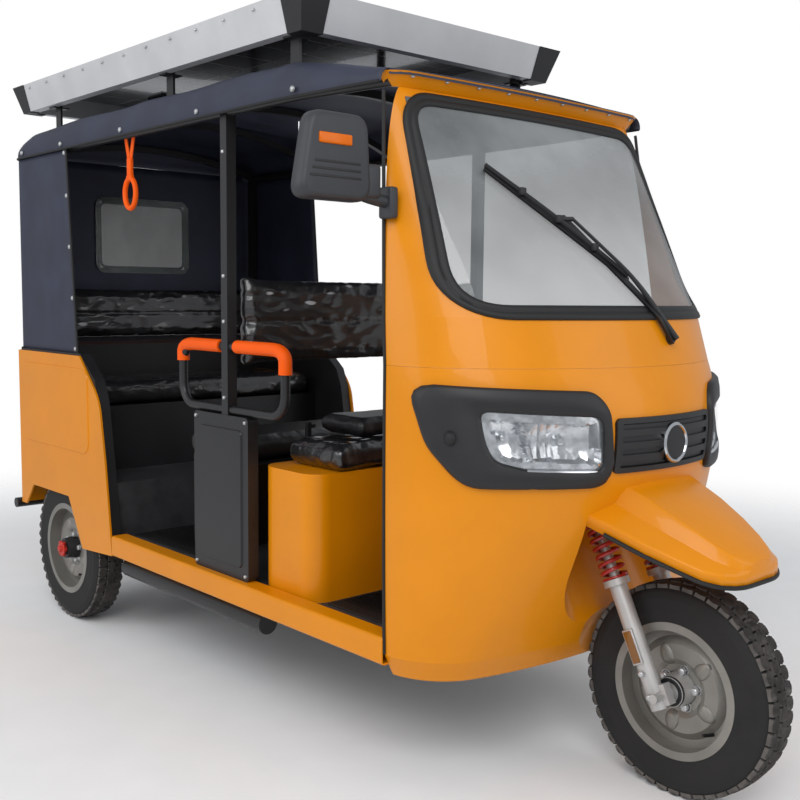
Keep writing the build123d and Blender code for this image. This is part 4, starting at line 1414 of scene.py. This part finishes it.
    def _floor(self, side: int, across: float, up: float) -> float:
        """How far the bowl stands off the shell, which it covers at its rim.

        Args:
            side: Minus one for the right, one for the left.
            across: Distance across the lamp's plane in millimetres.
            up: Height in millimetres.

        Returns:
            The height over the shell in millimetres, less than zero inside it.
        """
        for shift, rise in ((0, 0), (8, 0), (-8, 0), (0, 8), (0, -8)):
            point, way = self._skin(side, across + shift, up + rise)
            cowl = self.skins["lower_cowl"].hit(point + way * 0.02, -way)
            if cowl and (cowl[0] - point).length < 0.03:
                return 1.0
        return -self._dish(across, up)

    def _head(self, side: int, forms: dict[str, Form]) -> None:
        """Make one headlamp.

        Args:
            side: Minus one for the right, one for the left.
            forms: The forms of the bezel, lens, bowl, bulbs and lip.
        """
        outer = self._outline(self.bezel, 26)
        inner = self._outline(self.lens, 22)
        steps = ((0, -1), (0, 6), (0.05, 12), (0.14, 15), (0.5, 15), (0.88, 13), (0.97, 9), (1, 3), (1, -10))
        rows = []
        for share, lift in steps:
            ring = [Vector(o).lerp(Vector(i), share) for o, i in zip(outer, inner)]
            rows.append([self._lift(side, p, lift) for p in ring])
        forms["bezel"].grid(rows, loop_u=True, loop_v=True)

        def inside(share: float) -> list[tuple[float, float]]:
            """The lens's outline shrunk towards its middle."""
            x, z = self.middle
            return [(x + (a - x) * share, z + (u - z) * share) for a, u in inner]

        shares = [1.0, 0.85, 0.65, 0.45, 0.25, 0.08]
        face = [[self._lift(side, p, 5) for p in inside(s)] for s in reversed(shares)]
        back = [[self._lift(side, p, 2) for p in inside(s)] for s in shares]
        made = forms["lens"].grid(face + back, loop_v=True)
        forms["lens"].mesh.faces.new(made[0])
        forms["lens"].mesh.faces.new(made[-1])
        deep = [1.0] + [0.99 - 0.97 * k / 17 for k in range(18)]
        rows = [[self._lift(side, p, self._floor(side, *p)) for p in inside(s)] for s in deep]
        made = forms["bowl"].grid(rows, loop_v=True)
        forms["bowl"].mesh.faces.new(made[-1])
        way = self._way(side)
        for across, up, _, size in self.dishes:
            seat = self._lift(side, (across, up), -self._dish(across, up))
            forms["bulb"].lathe([(0, 24), (size * 0.7, 22), (size, 14), (size, 0), (0, 0)], seat, way, 20)
        strip = [(45 + 45 * k, 806 - 2.4 * k) for k in range(5)]
        forms["lip"].tube([self._lift(side, p, 7) for p in strip], 0.0045, 8)

    def _tail(self, repeater: Repeater) -> None:
        """Add the tail lamps' amber bands, the plate and its bolts.

        Args:
            repeater: The group that sets repeated studs.
        """
        form = Form()
        for side in (-1, 1):
            form.slab(at(-1409, side * 480, 668), (9, 96, 34), 4)
        settle(form.build("tail_signals"), AMBER, Body.VEHICLE, "orange_plastic")
        form = Form()
        form.slab(at(-1406.6, 0, 560), (2.4, 330, 130), 1)
        settle(form.build("number_plate"), PLATE_WHITE, Body.VEHICLE, "grey_plastic")
        back = Vector((-1, 0, 0))
        seats = [Seat(at(-1408, y, 560), back, Vector((0, 1, 0))) for y in (-75, 75)]
        bolts = repeater.stamp("plate_bolts", seats, ZINC, Foot=0.006, Head=0.005, Height=0.004, Dome=0.5)
        settle(bolts, ZINC, Body.VEHICLE, "cast_metal")


@dataclass(frozen=True)
class Arch:
    """One cross-section of the roof cloth."""

    x: float
    half: float
    crown: float
    crown_radius: float
    corner_radius: float


@dataclass
class Canopy:
    """The roof cloth with its valance, and the cloth that wraps the rear."""

    edge: float = 1703.0
    wall_foot: float = 978.0
    flap_front: float = -914.0
    flap_lean: float = 0.087
    rear_wall: float = -1400.0
    window_low: float = 1303.0
    window_high: float = 1572.0
    window_half: float = 195.0
    thickness: float = 2.0
    snap_places: tuple[float, ...] = (-1350, -1010, -560, -90, 380)
    rows: tuple[Arch, ...] = (
        Arch(-1442, 545, 1722, 20000, 10),
        Arch(-1405, 545, 1800, 4000, 60),
        Arch(-1330, 545, 1832, 4000, 90),
        Arch(-1105, 545, 1845, 4000, 90),
        Arch(300, 545, 1845, 4000, 90),
        Arch(690, 516, 1752, 8000, 30),
    )

    def build(self, repeater: Repeater) -> None:
        """Make the canopy's pieces.

        Args:
            repeater: The group that sets snaps.
        """
        dress(CLEAR, "rear_window")
        roof = self._roof()
        rear = self._rear()
        hems = self._hems(repeater)

    def _arch(self, row: Arch, steps: int = 10) -> list[Vector]:
        """The points of one cross-section from the right edge to the left.

        Args:
            row: The cross-section's sizes.
            steps: Points along each bend.

        Returns:
            The points, in millimetres.
        """
        centre = row.crown - row.crown_radius
        turn = row.half - row.corner_radius
        rise = math.sqrt((row.crown_radius - row.corner_radius) ** 2 - turn**2)
        reach = row.crown_radius / (row.crown_radius - row.corner_radius)
        shoulder = turn * reach
        side = [(row.half, self.edge + (centre + rise - self.edge) * k / 4) for k in range(4)]
        lean = math.atan2(rise, turn)
        bend = [lean * k / steps for k in range(steps)]
        small = row.corner_radius
        corner = [(turn + small * math.cos(a), centre + rise + small * math.sin(a)) for a in bend]
        top = [shoulder * (1 - k / 14) for k in range(15)]
        crown = [(y, centre + math.sqrt(row.crown_radius**2 - y * y)) for y in top]
        half = side + corner + crown
        right = [Vector((row.x, -y, z)) for y, z in half]
        return right + [Vector((row.x, y, z)) for y, z in reversed(half[:-1])]

    def _roof(self) -> bpy.types.Object:
        """Skin the roof cloth with slack between its bows.

        Returns:
            The roof cloth.
        """
        columns = []
        for first, second in zip(self.rows, self.rows[1:]):
            count = max(2, round((second.x - first.x) / 28))
            a, b = self._arch(first), self._arch(second)
            columns += [[p.lerp(q, k / count) for p, q in zip(a, b)] for k in range(count)]
        columns.append(self._arch(self.rows[-1]))
        made = []
        for column in columns:
            line = []
            for p in column:
                x, y, z = p
                y *= self._corner(x)
                fade = min(1.0, max(0.0, (x + 1442) / 60), max(0.0, (690 - x) / 60))
                sag = 5 * (0.5 - 0.5 * math.cos(math.tau * (x + 1385) / 470)) if -1385 < x < 500 else 0
                low = max(0.0, 1 - (z - self.edge) / 60)
                ripple = noise.noise(Vector((x / 130, y / 300, z / 90))) * 4.5
                scallop = 4 * low * math.sin(math.tau * (x + 1385) / 235)
                out = 1 if y > 0 else -1
                edge_in = (abs(scallop) * 0.6 + abs(ripple) * 0.5) * low
                flat = 1 - low
                line.append(at(x, y - out * edge_in * fade, z - (sag + abs(ripple) * 0.6) * fade * flat))
            made.append(line)
        form = Form()
        form.grid(made)
        return self._cloth(form, "canopy_top", "canopy_roof")

    def _rear(self) -> bpy.types.Object:
        """Skin the cloth round the back, leaving its window open.

        Returns:
            The rear cloth.
        """
        heights = sorted(
            {self.wall_foot + (self.edge - self.wall_foot) * k / 26 for k in range(27)}
            | {self.window_low, self.window_high}
        )
        form = Form()
        table = []
        for z in heights:
            line = []
            for x, y in self._plan(self._flap(z)):
                mid = math.sin(math.pi * (z - self.wall_foot) / (self.edge - self.wall_foot))
                wave = noise.noise(Vector((x / 170, y / 170, z / 420 + 3.0))) * 9
                wave += noise.noise(Vector((x / 60, y / 60, z / 160))) * 3
                near = max(abs(abs(y) - self.window_half), 1) if x < self.rear_wall else 999
                push = wave * mid * min(1.0, near / 60) * (0.5 if x < self.rear_wall else 1.0)
                if x < self.rear_wall:
                    lift = 17 * max(0.0, (z - self.window_high) / (self.edge - self.window_high))
                    line.append(at(x + abs(push) * 0.4, y, z + lift))
                else:
                    side = 1 if y > 0 else -1
                    line.append(at(x, y - side * (push + 4 * mid), z))
            table.append(line)
        form.grid(table)
        for face in list(form.mesh.faces):
            middle = face.calc_center_median() / MILLIMETRE
            across, up = abs(middle.y - CENTRE_Y), middle.z
            framed = across < self.window_half and self.window_low < up < self.window_high
            if middle.x < self.rear_wall and framed:
                form.mesh.faces.remove(face)
        return self._cloth(form, "canopy_back", "canopy_rear")

    def _plan(self, front: float) -> list[tuple[float, float]]:
        """The rear cloth's line in plan, from its right front edge round to the left.

        Args:
            front: Where the cloth's front edge lies, in millimetres.

        Returns:
            The line's points, forward and left.
        """
        straight = [(front + (-1387 - front) * k / 20, -540.5) for k in range(20)]
        turn = [math.pi / 2 * k / 8 for k in range(9)]
        corner = [(-1387 - 50 * math.sin(a), -490.5 - 50 * math.cos(a)) for a in turn]
        back = [-490.5 + (490.5 - self.window_half) * k / 8 for k in range(1, 8)]
        back += [-self.window_half + self.window_half * k / 5 for k in range(5)]
        half = straight + corner + [(-1437, y) for y in back]
        return half + [(-1437, 0.0)] + [(x, -y) for x, y in reversed(half)]

    def _cloth(self, form: Form, name: str, node: str) -> bpy.types.Object:
        """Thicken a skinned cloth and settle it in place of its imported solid."""
        thing = thicken(form.build(name, 60), self.thickness)
        return settle(thing, TARPAULIN, Body.VEHICLE, "canopy_cloth", node)

    def _flap(self, z: float) -> float:
        """Where the rear cloth's front edge lies at a height."""
        return self.flap_front - self.flap_lean * (z - self.wall_foot)

    def _corner(self, x: float) -> float:
        """How much the roof narrows at its rounded rear corners."""
        return 1.0 if x > -1382 else (485 + math.sqrt(max(0.0, 60**2 - (x + 1382) ** 2))) / 545

    def _hems(self, repeater: Repeater) -> list[bpy.types.Object]:
        """Sew hems along the edges and set the snaps.

        Args:
            repeater: The group that sets repeated studs.

        Returns:
            The hems and the snaps.
        """
        form = Form()
        for side in (-1, 1):
            form.tube([at(self._flap(z), side * 541.5, z) for z in (980, 1200, 1450, 1700)], 0.0045, 6)
            places = (-1440, -1436, -1428, -1415, -1400, -1382, -900, -300, 300)
            edge = [at(x, side * 546 * self._corner(x), 1704) for x in places]
            form.tube(edge + [at(685, side * 517, 1704)], 0.004, 6)
        ring = [(-192, 1306), (192, 1306), (192, 1569), (-192, 1569)]
        ring_path = smooth_path([at(-1438.5, y, z) for y, z in ring], 30, loop=True)
        form.tube(ring_path, 0.006, 6, loop=True)
        hems = settle(form.build("canopy_hems"), RUBBER, Body.VEHICLE, "canopy_cloth")
        seats = []
        for side in (-1, 1):
            out = Vector((0, side, 0))
            for x in self.snap_places:
                seats.append(Seat(at(x, side * 546, 1722), out))
            for z in (1000, 1180, 1360, 1540, 1690):
                seats.append(Seat(at(self._flap(z) - 14, side * 541, z), out))
        snaps = repeater.stamp("canopy_snaps", seats, ZINC, Foot=0.0085, Head=0.0075, Height=0.004, Dome=0.3)
        settle(snaps, ZINC, Body.VEHICLE, "cast_metal")
        return [hems, snaps]


@dataclass
class Cushion:
    """One stuffed pad, swollen from a slightly smaller block."""

    node: str
    body: Body
    finish: Finish
    channels: tuple[float, ...] = ()
    channel_axis: int = 1
    channel_width: float = 0.011
    shrink: float = 0.010
    cap: float = 0.013
    voxel: float = 0.009
    fill: float = 0.8

    def build(self) -> None:
        """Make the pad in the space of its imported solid."""
        low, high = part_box(self.node)
        name = self.node + "_pad"
        size = (high - low) / MILLIMETRE - Vector((1, 1, 1)) * 2 * self.shrink / MILLIMETRE
        form = Form()
        form.slab((low + high) / 2, tuple(size), min(26.0, min(size) * 0.32))
        pad = form.build(name, 180)
        remesh = pad.modifiers.new("even", "REMESH")
        remesh.mode = "VOXEL"
        remesh.voxel_size = self.voxel
        self._apply(pad)
        self._swell(pad)
        self._sew(pad, low, high)
        pad.data.shade_smooth()
        settle(pad, self.finish, self.body, "seat_vinyl", self.node)

    def _apply(self, pad: bpy.types.Object) -> None:
        """Turn the pad's modifiers into its mesh.

        Args:
            pad: The pad's object.
        """
        graph = bpy.context.evaluated_depsgraph_get()
        pad.data = bpy.data.meshes.new_from_object(pad.evaluated_get(graph))
        pad.modifiers.clear()

    def _swell(self, pad: bpy.types.Object) -> None:
        """Inflate the pad as cloth and cap how far each point goes.

        Args:
            pad: The pad's object.
        """
        scene = bpy.context.scene
        start = [v.co.copy() for v in pad.data.vertices]
        cloth = pad.modifiers.new("cloth", "CLOTH")
        cloth.settings.quality = 4
        cloth.settings.use_pressure = True
        cloth.settings.uniform_pressure_force = 4.0
        cloth.settings.effector_weights.gravity = 0.0
        cloth.settings.tension_stiffness = 18
        cloth.settings.compression_stiffness = 18
        cloth.settings.bending_stiffness = 2
        cloth.collision_settings.use_collision = False
        cloth.point_cache.frame_start, cloth.point_cache.frame_end = 1, 20
        for step in range(1, 21):
            scene.frame_set(step)
        self._apply(pad)
        for vertex, origin in zip(pad.data.vertices, start):
            move = vertex.co - origin
            if move.length > self.cap:
                vertex.co = origin + move.normalized() * self.cap
        scene.frame_set(1)

    def _sew(self, pad: bpy.types.Object, low: Vector, high: Vector) -> None:
        """Pull in the sewn channels, crease the cover and smooth it once.

        Args:
            pad: The pad's object.
            low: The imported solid's lowest corner.
            high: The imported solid's highest corner.
        """
        smooth = pad.modifiers.new("smooth", "SUBSURF")
        smooth.levels = smooth.render_levels = 1
        self._apply(pad)
        pad.data.update()
        axis = self.channel_axis
        normals = [v.normal.copy() for v in pad.data.vertices]
        for vertex, normal in zip(pad.data.vertices, normals):
            share = (vertex.co[axis] - low[axis]) / (high[axis] - low[axis])
            tall = (high[axis] - low[axis]) / self.channel_width
            groove = sum(math.exp(-(((share - c) * tall) ** 2)) for c in self.channels)
            crease = noise.noise(vertex.co * 34) * 0.0016 + noise.noise(vertex.co * 90) * 0.0007
            vertex.co += normal * (crease - 0.007 * min(1.0, groove))
            for k in range(3):
                vertex.co[k] = min(max(vertex.co[k], low[k]), high[k])


@dataclass
class Cabin:
    """Floor mat, boards, rails, posts and the hand strap."""

    mat_ribs: int = 22

    def build(self, repeater: Repeater) -> None:
        """Make the cabin's pieces.

        Args:
            repeater: The group that sets bolts and ribs.
        """
        dress(FLOOR_GREY, "floor_pan", "rear_deck")
        dress(BLACK_PAINT, "chassis", "roof_frame", "side_boards", "grab_rails", "step_bars", "rear_bumper")
        dress(BLACK_PAINT, "rear_axle", "leaf_springs", "mid_bench", "back_brackets", "battery", "bench_base")
        self._grips()
        self._mat(repeater)
        self._bolts(repeater)
        self._strap()
        self._lining()

    def _grips(self) -> None:
        """Sleeve the top of each grab rail and its bends."""
        form = Form()
        for side in (-1, 1):
            for path in (((-235, 996), (-235, 1048), (-15, 1048)), ((65, 1048), (300, 1048), (300, 982))):
                bent = smooth_path([at(x, side * 512, z) for x, z in path], 62, 10)
                form.tube(bent, 0.019, 16)
        settle(form.build("rail_sleeves", 50), HAND_ORANGE, Body.VEHICLE, "orange_plastic", "grips")

    def _lining(self) -> None:
        """Line the inside of the rear walls with black board."""
        form = Form()
        front = [(-668, 364), (-702, 620), (-738, 828), (-770, 900), (-878, 985)]
        outline = front + [(-1396, 985), (-1396, 548), (-712, 548), (-712, 364)]
        for side in (-1, 1):
            form.prism([at(x, side * 548.4, z) for x, z in outline], Vector((0, -side * 0.002, 0)))
            jamb = front + [(x - 4, z - 2) for x, z in reversed(front)]
            form.prism([at(x, side * 549, z) for x, z in jamb], Vector((0, -side * 0.038, 0)))
        board = ((-546, 548), (546, 548), (546, 990), (-546, 990))
        form.prism([at(-1397.4, y, z) for y, z in board], Vector((0.002, 0, 0)))
        settle(form.build("rear_lining"), BLACK_PLASTIC, Body.VEHICLE, "black_plastic")

    def _mat(self, repeater: Repeater) -> None:
        """Lay ribbed mats on the driver's and the passengers' floor.

        Args:
            repeater: The group that sets repeated studs.
        """
        form = Form()
        form.slab(at(560, 0, 361.6), (300, 900, 3), 1)
        form.slab(at(-480, 0, 361.6), (400, 900, 3), 1)
        settle(form.build("floor_mats"), RUBBER, Body.VEHICLE, "seal_rubber")
        seats = []
        for middle, span in ((560, 280), (-480, 380)):
            for k in range(self.mat_ribs):
                x = middle - span / 2 + span * k / (self.mat_ribs - 1)
                seats.append(Seat(at(x, 0, 364), Vector((0, 0, 1)), Vector((0, 1, 0))))
        sizes = {"Sides": 4, "Foot": 0.0035, "Head": 0.0026, "Height": 0.002}
        sizes |= {"Spin": math.pi / 4, "Stretch": 178.0}
        ribs = repeater.stamp("mat_ribs", seats, RUBBER, **sizes)
        settle(ribs, RUBBER, Body.VEHICLE, "seal_rubber")

    def _bolts(self, repeater: Repeater) -> None:
        """Set bolts on the posts, the boards and the rail feet.

        Args:
            repeater: The group that sets repeated studs.
        """
        seats = []
        for side in (-1, 1):
            out = Vector((0, side, 0))
            seats += [Seat(at(22, side * 528.2, z), out) for z in (900, 1120, 1250, 1600)]
            seats += [Seat(at(x, side * 530.2, z), out) for x in (-132, 131) for z in (392, 836)]
        sizes = {"Sides": 6, "Foot": 0.0062, "Head": 0.0056, "Height": 0.004, "Dome": 0.4}
        bolts = repeater.stamp("cabin_bolts", seats, ZINC, **sizes)
        settle(bolts, ZINC, Body.VEHICLE, "cast_metal")

    def _strap(self) -> None:
        """Hang the hand strap from the right roof rail."""
        form = Form()
        y = -515
        for lean in (-1, 1):
            path = [(-556 + lean * 26, y, 1700), (-556 + lean * 15, y, 1664), (-556 + lean * 6, y, 1632)]
            band = ((-9, -1.4), (9, -1.4), (9, 1.4), (-9, 1.4))
            rows = [[at(x + wide, y + thick, z) for wide, thick in band] for x, y, z in path]
            made = form.grid(rows, loop_v=True)
            form.mesh.faces.new(made[0])
            form.mesh.faces.new(made[-1])
        form.slab(at(-556, y, 1606), (26, 14, 62), 5)
        form.slab(at(-556, y, 1574), (34, 15, 14), 5)
        ring = []
        for k in range(40):
            a = math.tau * k / 40
            ring.append(at(-556 + 36 * math.cos(a), y, 1522 + 48 * math.sin(a)))
        form.tube(ring, 0.0085, 10, loop=True)
        settle(form.build("hand_strap"), HAND_ORANGE, Body.VEHICLE, "orange_plastic", "grab_strap")


@dataclass
class RoofPanel:
    """The panel over the roof: its frame, cells, junction box and lead."""

    def build(self, repeater: Repeater) -> None:
        """Make the panel's pieces.

        Args:
            repeater: The group that sets rivets.
        """
        dress(ALUMINIUM, "solar_frame")
        dress(CELLS, "solar_panel")
        dress(BLACK_PLASTIC, "panel_corners")
        dress(BLACK_PAINT, "solar_brackets")
        seats = []
        for side in (-1, 1):
            out = Vector((0, side, 0))
            for x in range(-1350, 300, 150):
                seats.append(Seat(at(x, side * 511.2, 1968), out))
        rivets = repeater.stamp("panel_rivets", seats, ZINC, Foot=0.0045, Head=0.004, Height=0.003, Dome=0.4)
        settle(rivets, ZINC, Body.VEHICLE, "cast_metal")
        form = Form()
        form.slab(at(-1180, 0, 1951), (110, 160, 21), 4)
        path = [at(-1180, 70, 1945), at(-1180, 250, 1940), at(-1250, 420, 1930)]
        form.tube(smooth_path(path, 80), 0.004, 8)
        settle(form.build("junction_box"), BLACK_PLASTIC, Body.VEHICLE, "black_plastic")


@dataclass
class DoorMirror:
    """The mirror's glass, its ribbed grille and the amber marker."""

    def build(self) -> None:
        """Make the mirror's pieces."""
        form = Form()
        outline = ((-809, 1408), (-602, 1408), (-614, 1602), (-774, 1602))
        ring = smooth_path([Vector((0, y, z)) * MILLIMETRE for y, z in outline], 38, 8, loop=True)
        middle = Vector((0, -700, 1502))
        rows = []
        shell = ((723, 0.86), (722, 0.95), (727, 1), (748, 1), (760, 0.975), (766, 0.93), (768, 0.85))
        for x, share in shell:
            rows.append([at(*(middle + (p / MILLIMETRE - middle) * share + Vector((x, 0, 0)))) for p in ring])
        made = form.grid(rows, loop_v=True)
        form.mesh.faces.new(made[0])
        form.mesh.faces.new(made[-1])
        arm = [at(744, -640, 1432), at(742, -585, 1420), at(740, -520, 1413)]
        form.tube(smooth_path(arm, 60), 0.0145, 12)
        form.slab(at(740, -532, 1414), (46, 26, 74), 7)
        form.slab(at(746, -596, 1458), (34, 50, 78), 10)
        housing = form.build("mirror_shell", 50)
        settle(housing, GREY_PLASTIC, Body.VEHICLE, "grey_plastic", "mirror")
        face = Form()
        face.slab(at(722, -704, 1500), (3, 150, 150), 1.2)
        settle(face.build("mirror_glass"), CHROME, Body.VEHICLE, "wheel_silver")
        lens = Form()
        lens.slab(at(768, -712, 1540), (9, 92, 24), 4)
        settle(lens.build("mirror_marker"), AMBER, Body.VEHICLE, "orange_plastic")
        ribs = Form()
        for k in range(3):
            ribs.slab(at(768, -704 - 3 * k, 1490 - k * 16), (2.6, 128 + 8 * k, 5), 1)
        settle(ribs.build("mirror_ribs"), BLACK_PLASTIC, Body.VEHICLE, "black_plastic")


@dataclass
class Studio:
    """The floor, the soft lamps, the white backdrop and the camera."""

    eye: Colour = (2616.0, -2172.0, 1195.0)
    yaw: float = 41.89
    pitch: float = 5.6
    roll: float = -0.57
    lens: float = 47.25

    def build(self) -> None:
        """Set up the picture."""
        self._floor()
        self._lamps()
        self._world()
        self._camera()

    def _floor(self) -> None:
        """Lay a wide pale floor under the tyres."""
        form = Form()
        form.grid([[Vector((x, y, -0.0008)) for y in (-9, 9)] for x in (-9, 9)])
        floor = form.build("floor")
        floor.data.materials.append(FLOOR.make())

    def _lamps(self) -> None:
        """Hang large soft lamps in front, at the right and above."""
        target = at(100, 0, 900)
        rows = (
            ("key", (3.6, -3.4, 4.2), 135, 3.2),
            ("side", (-1.5, -5.0, 3.0), 75, 3.5),
            ("front", (5.0, 1.5, 2.6), 40, 3.0),
        )
        for name, place, power, size in rows:
            data = bpy.data.lights.new(name, "AREA")
            data.energy = power
            data.size = size
            lamp = bpy.data.objects.new(name, data)
            lamp.location = place
            lamp.rotation_mode = "QUATERNION"
            lamp.rotation_quaternion = (target - Vector(place)).to_track_quat("-Z", "Y")
            bpy.context.scene.collection.objects.link(lamp)

    def _world(self) -> None:
        """Light softly from all round, over a plain white backdrop."""
        world = bpy.data.worlds.new("backdrop")
        world.use_nodes = True
        tree = world.node_tree
        tree.nodes.clear()
        out = tree.nodes.new("ShaderNodeOutputWorld")
        seen, soft = (tree.nodes.new("ShaderNodeBackground") for _ in range(2))
        seen.inputs["Color"].default_value = (1, 1, 1, 1)
        soft.inputs["Color"].default_value = (0.93, 0.96, 1.0, 1)
        soft.inputs["Strength"].default_value = 0.55
        path = tree.nodes.new("ShaderNodeLightPath")
        mix = tree.nodes.new("ShaderNodeMixShader")
        tree.links.new(path.outputs["Is Camera Ray"], mix.inputs["Fac"])
        tree.links.new(soft.outputs[0], mix.inputs[1])
        tree.links.new(seen.outputs[0], mix.inputs[2])
        tree.links.new(mix.outputs[0], out.inputs["Surface"])
        bpy.context.scene.world = world

    def _camera(self) -> None:
        """Stand the camera where the vehicle is seen from its right front."""
        yaw, pitch, roll = (math.radians(v) for v in (self.yaw, self.pitch, self.roll))
        ahead = Vector((-math.cos(yaw) * math.cos(pitch), math.sin(yaw) * math.cos(pitch), -math.sin(pitch)))
        right = Vector((math.sin(yaw), math.cos(yaw), 0))
        down = ahead.cross(right)
        turned = right * math.cos(roll) + down * math.sin(roll)
        low = down * math.cos(roll) - right * math.sin(roll)
        data = bpy.data.cameras.new("camera")
        data.sensor_width = 36.0
        data.lens = self.lens
        data.clip_start, data.clip_end = 0.05, 100.0
        camera = bpy.data.objects.new("camera", data)
        facing = Matrix((turned, -low, -ahead)).transposed().to_4x4()
        camera.matrix_world = Matrix.Translation(at(*self.eye)) @ facing
        bpy.context.scene.collection.objects.link(camera)
        bpy.context.scene.camera = camera


def main() -> None:
    """Build every sub-assembly, then the studio."""
    logging.basicConfig(level=logging.INFO, format="%(name)s: %(message)s")
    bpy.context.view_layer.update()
    repeater = Repeater()
    wheels = (
        Wheel("front", Body.FRONT_WHEEL, Axle.FRONT, at(*FRONT_AXLE), -1),
        Wheel("rear_right", Body.REAR_RIGHT, Axle.REAR, at(-1040, -490, 260), -1),
        Wheel("rear_left", Body.REAR_LEFT, Axle.REAR, at(-1040, 490, 260), 1),
    )
    for wheel in wheels:
        wheel.build(repeater)
    Fork().build(repeater)
    Cab().build(repeater)
    Lamps().build(repeater)
    Canopy().build(repeater)
    pads = (
        Cushion("rear_cushion", Body.VEHICLE, VINYL),
        Cushion("rear_backrest", Body.VEHICLE, VINYL, (0.5,), 2),
        Cushion("mid_cushion", Body.VEHICLE, PLAIN_VINYL),
        Cushion("mid_backrest", Body.VEHICLE, VINYL, (0.5,), 2),
        Cushion("driver_cushion", Body.VEHICLE, VINYL),
        Cushion("driver_back", Body.SEAT_BACK, PLAIN_VINYL),
    )
    for pad in pads:
        pad.build()
    Cabin().build(repeater)
    RoofPanel().build(repeater)
    DoorMirror().build()
    Studio().build()
    bpy.context.scene.view_settings.view_transform = "Standard"


if __name__ == "__main__":
    main()
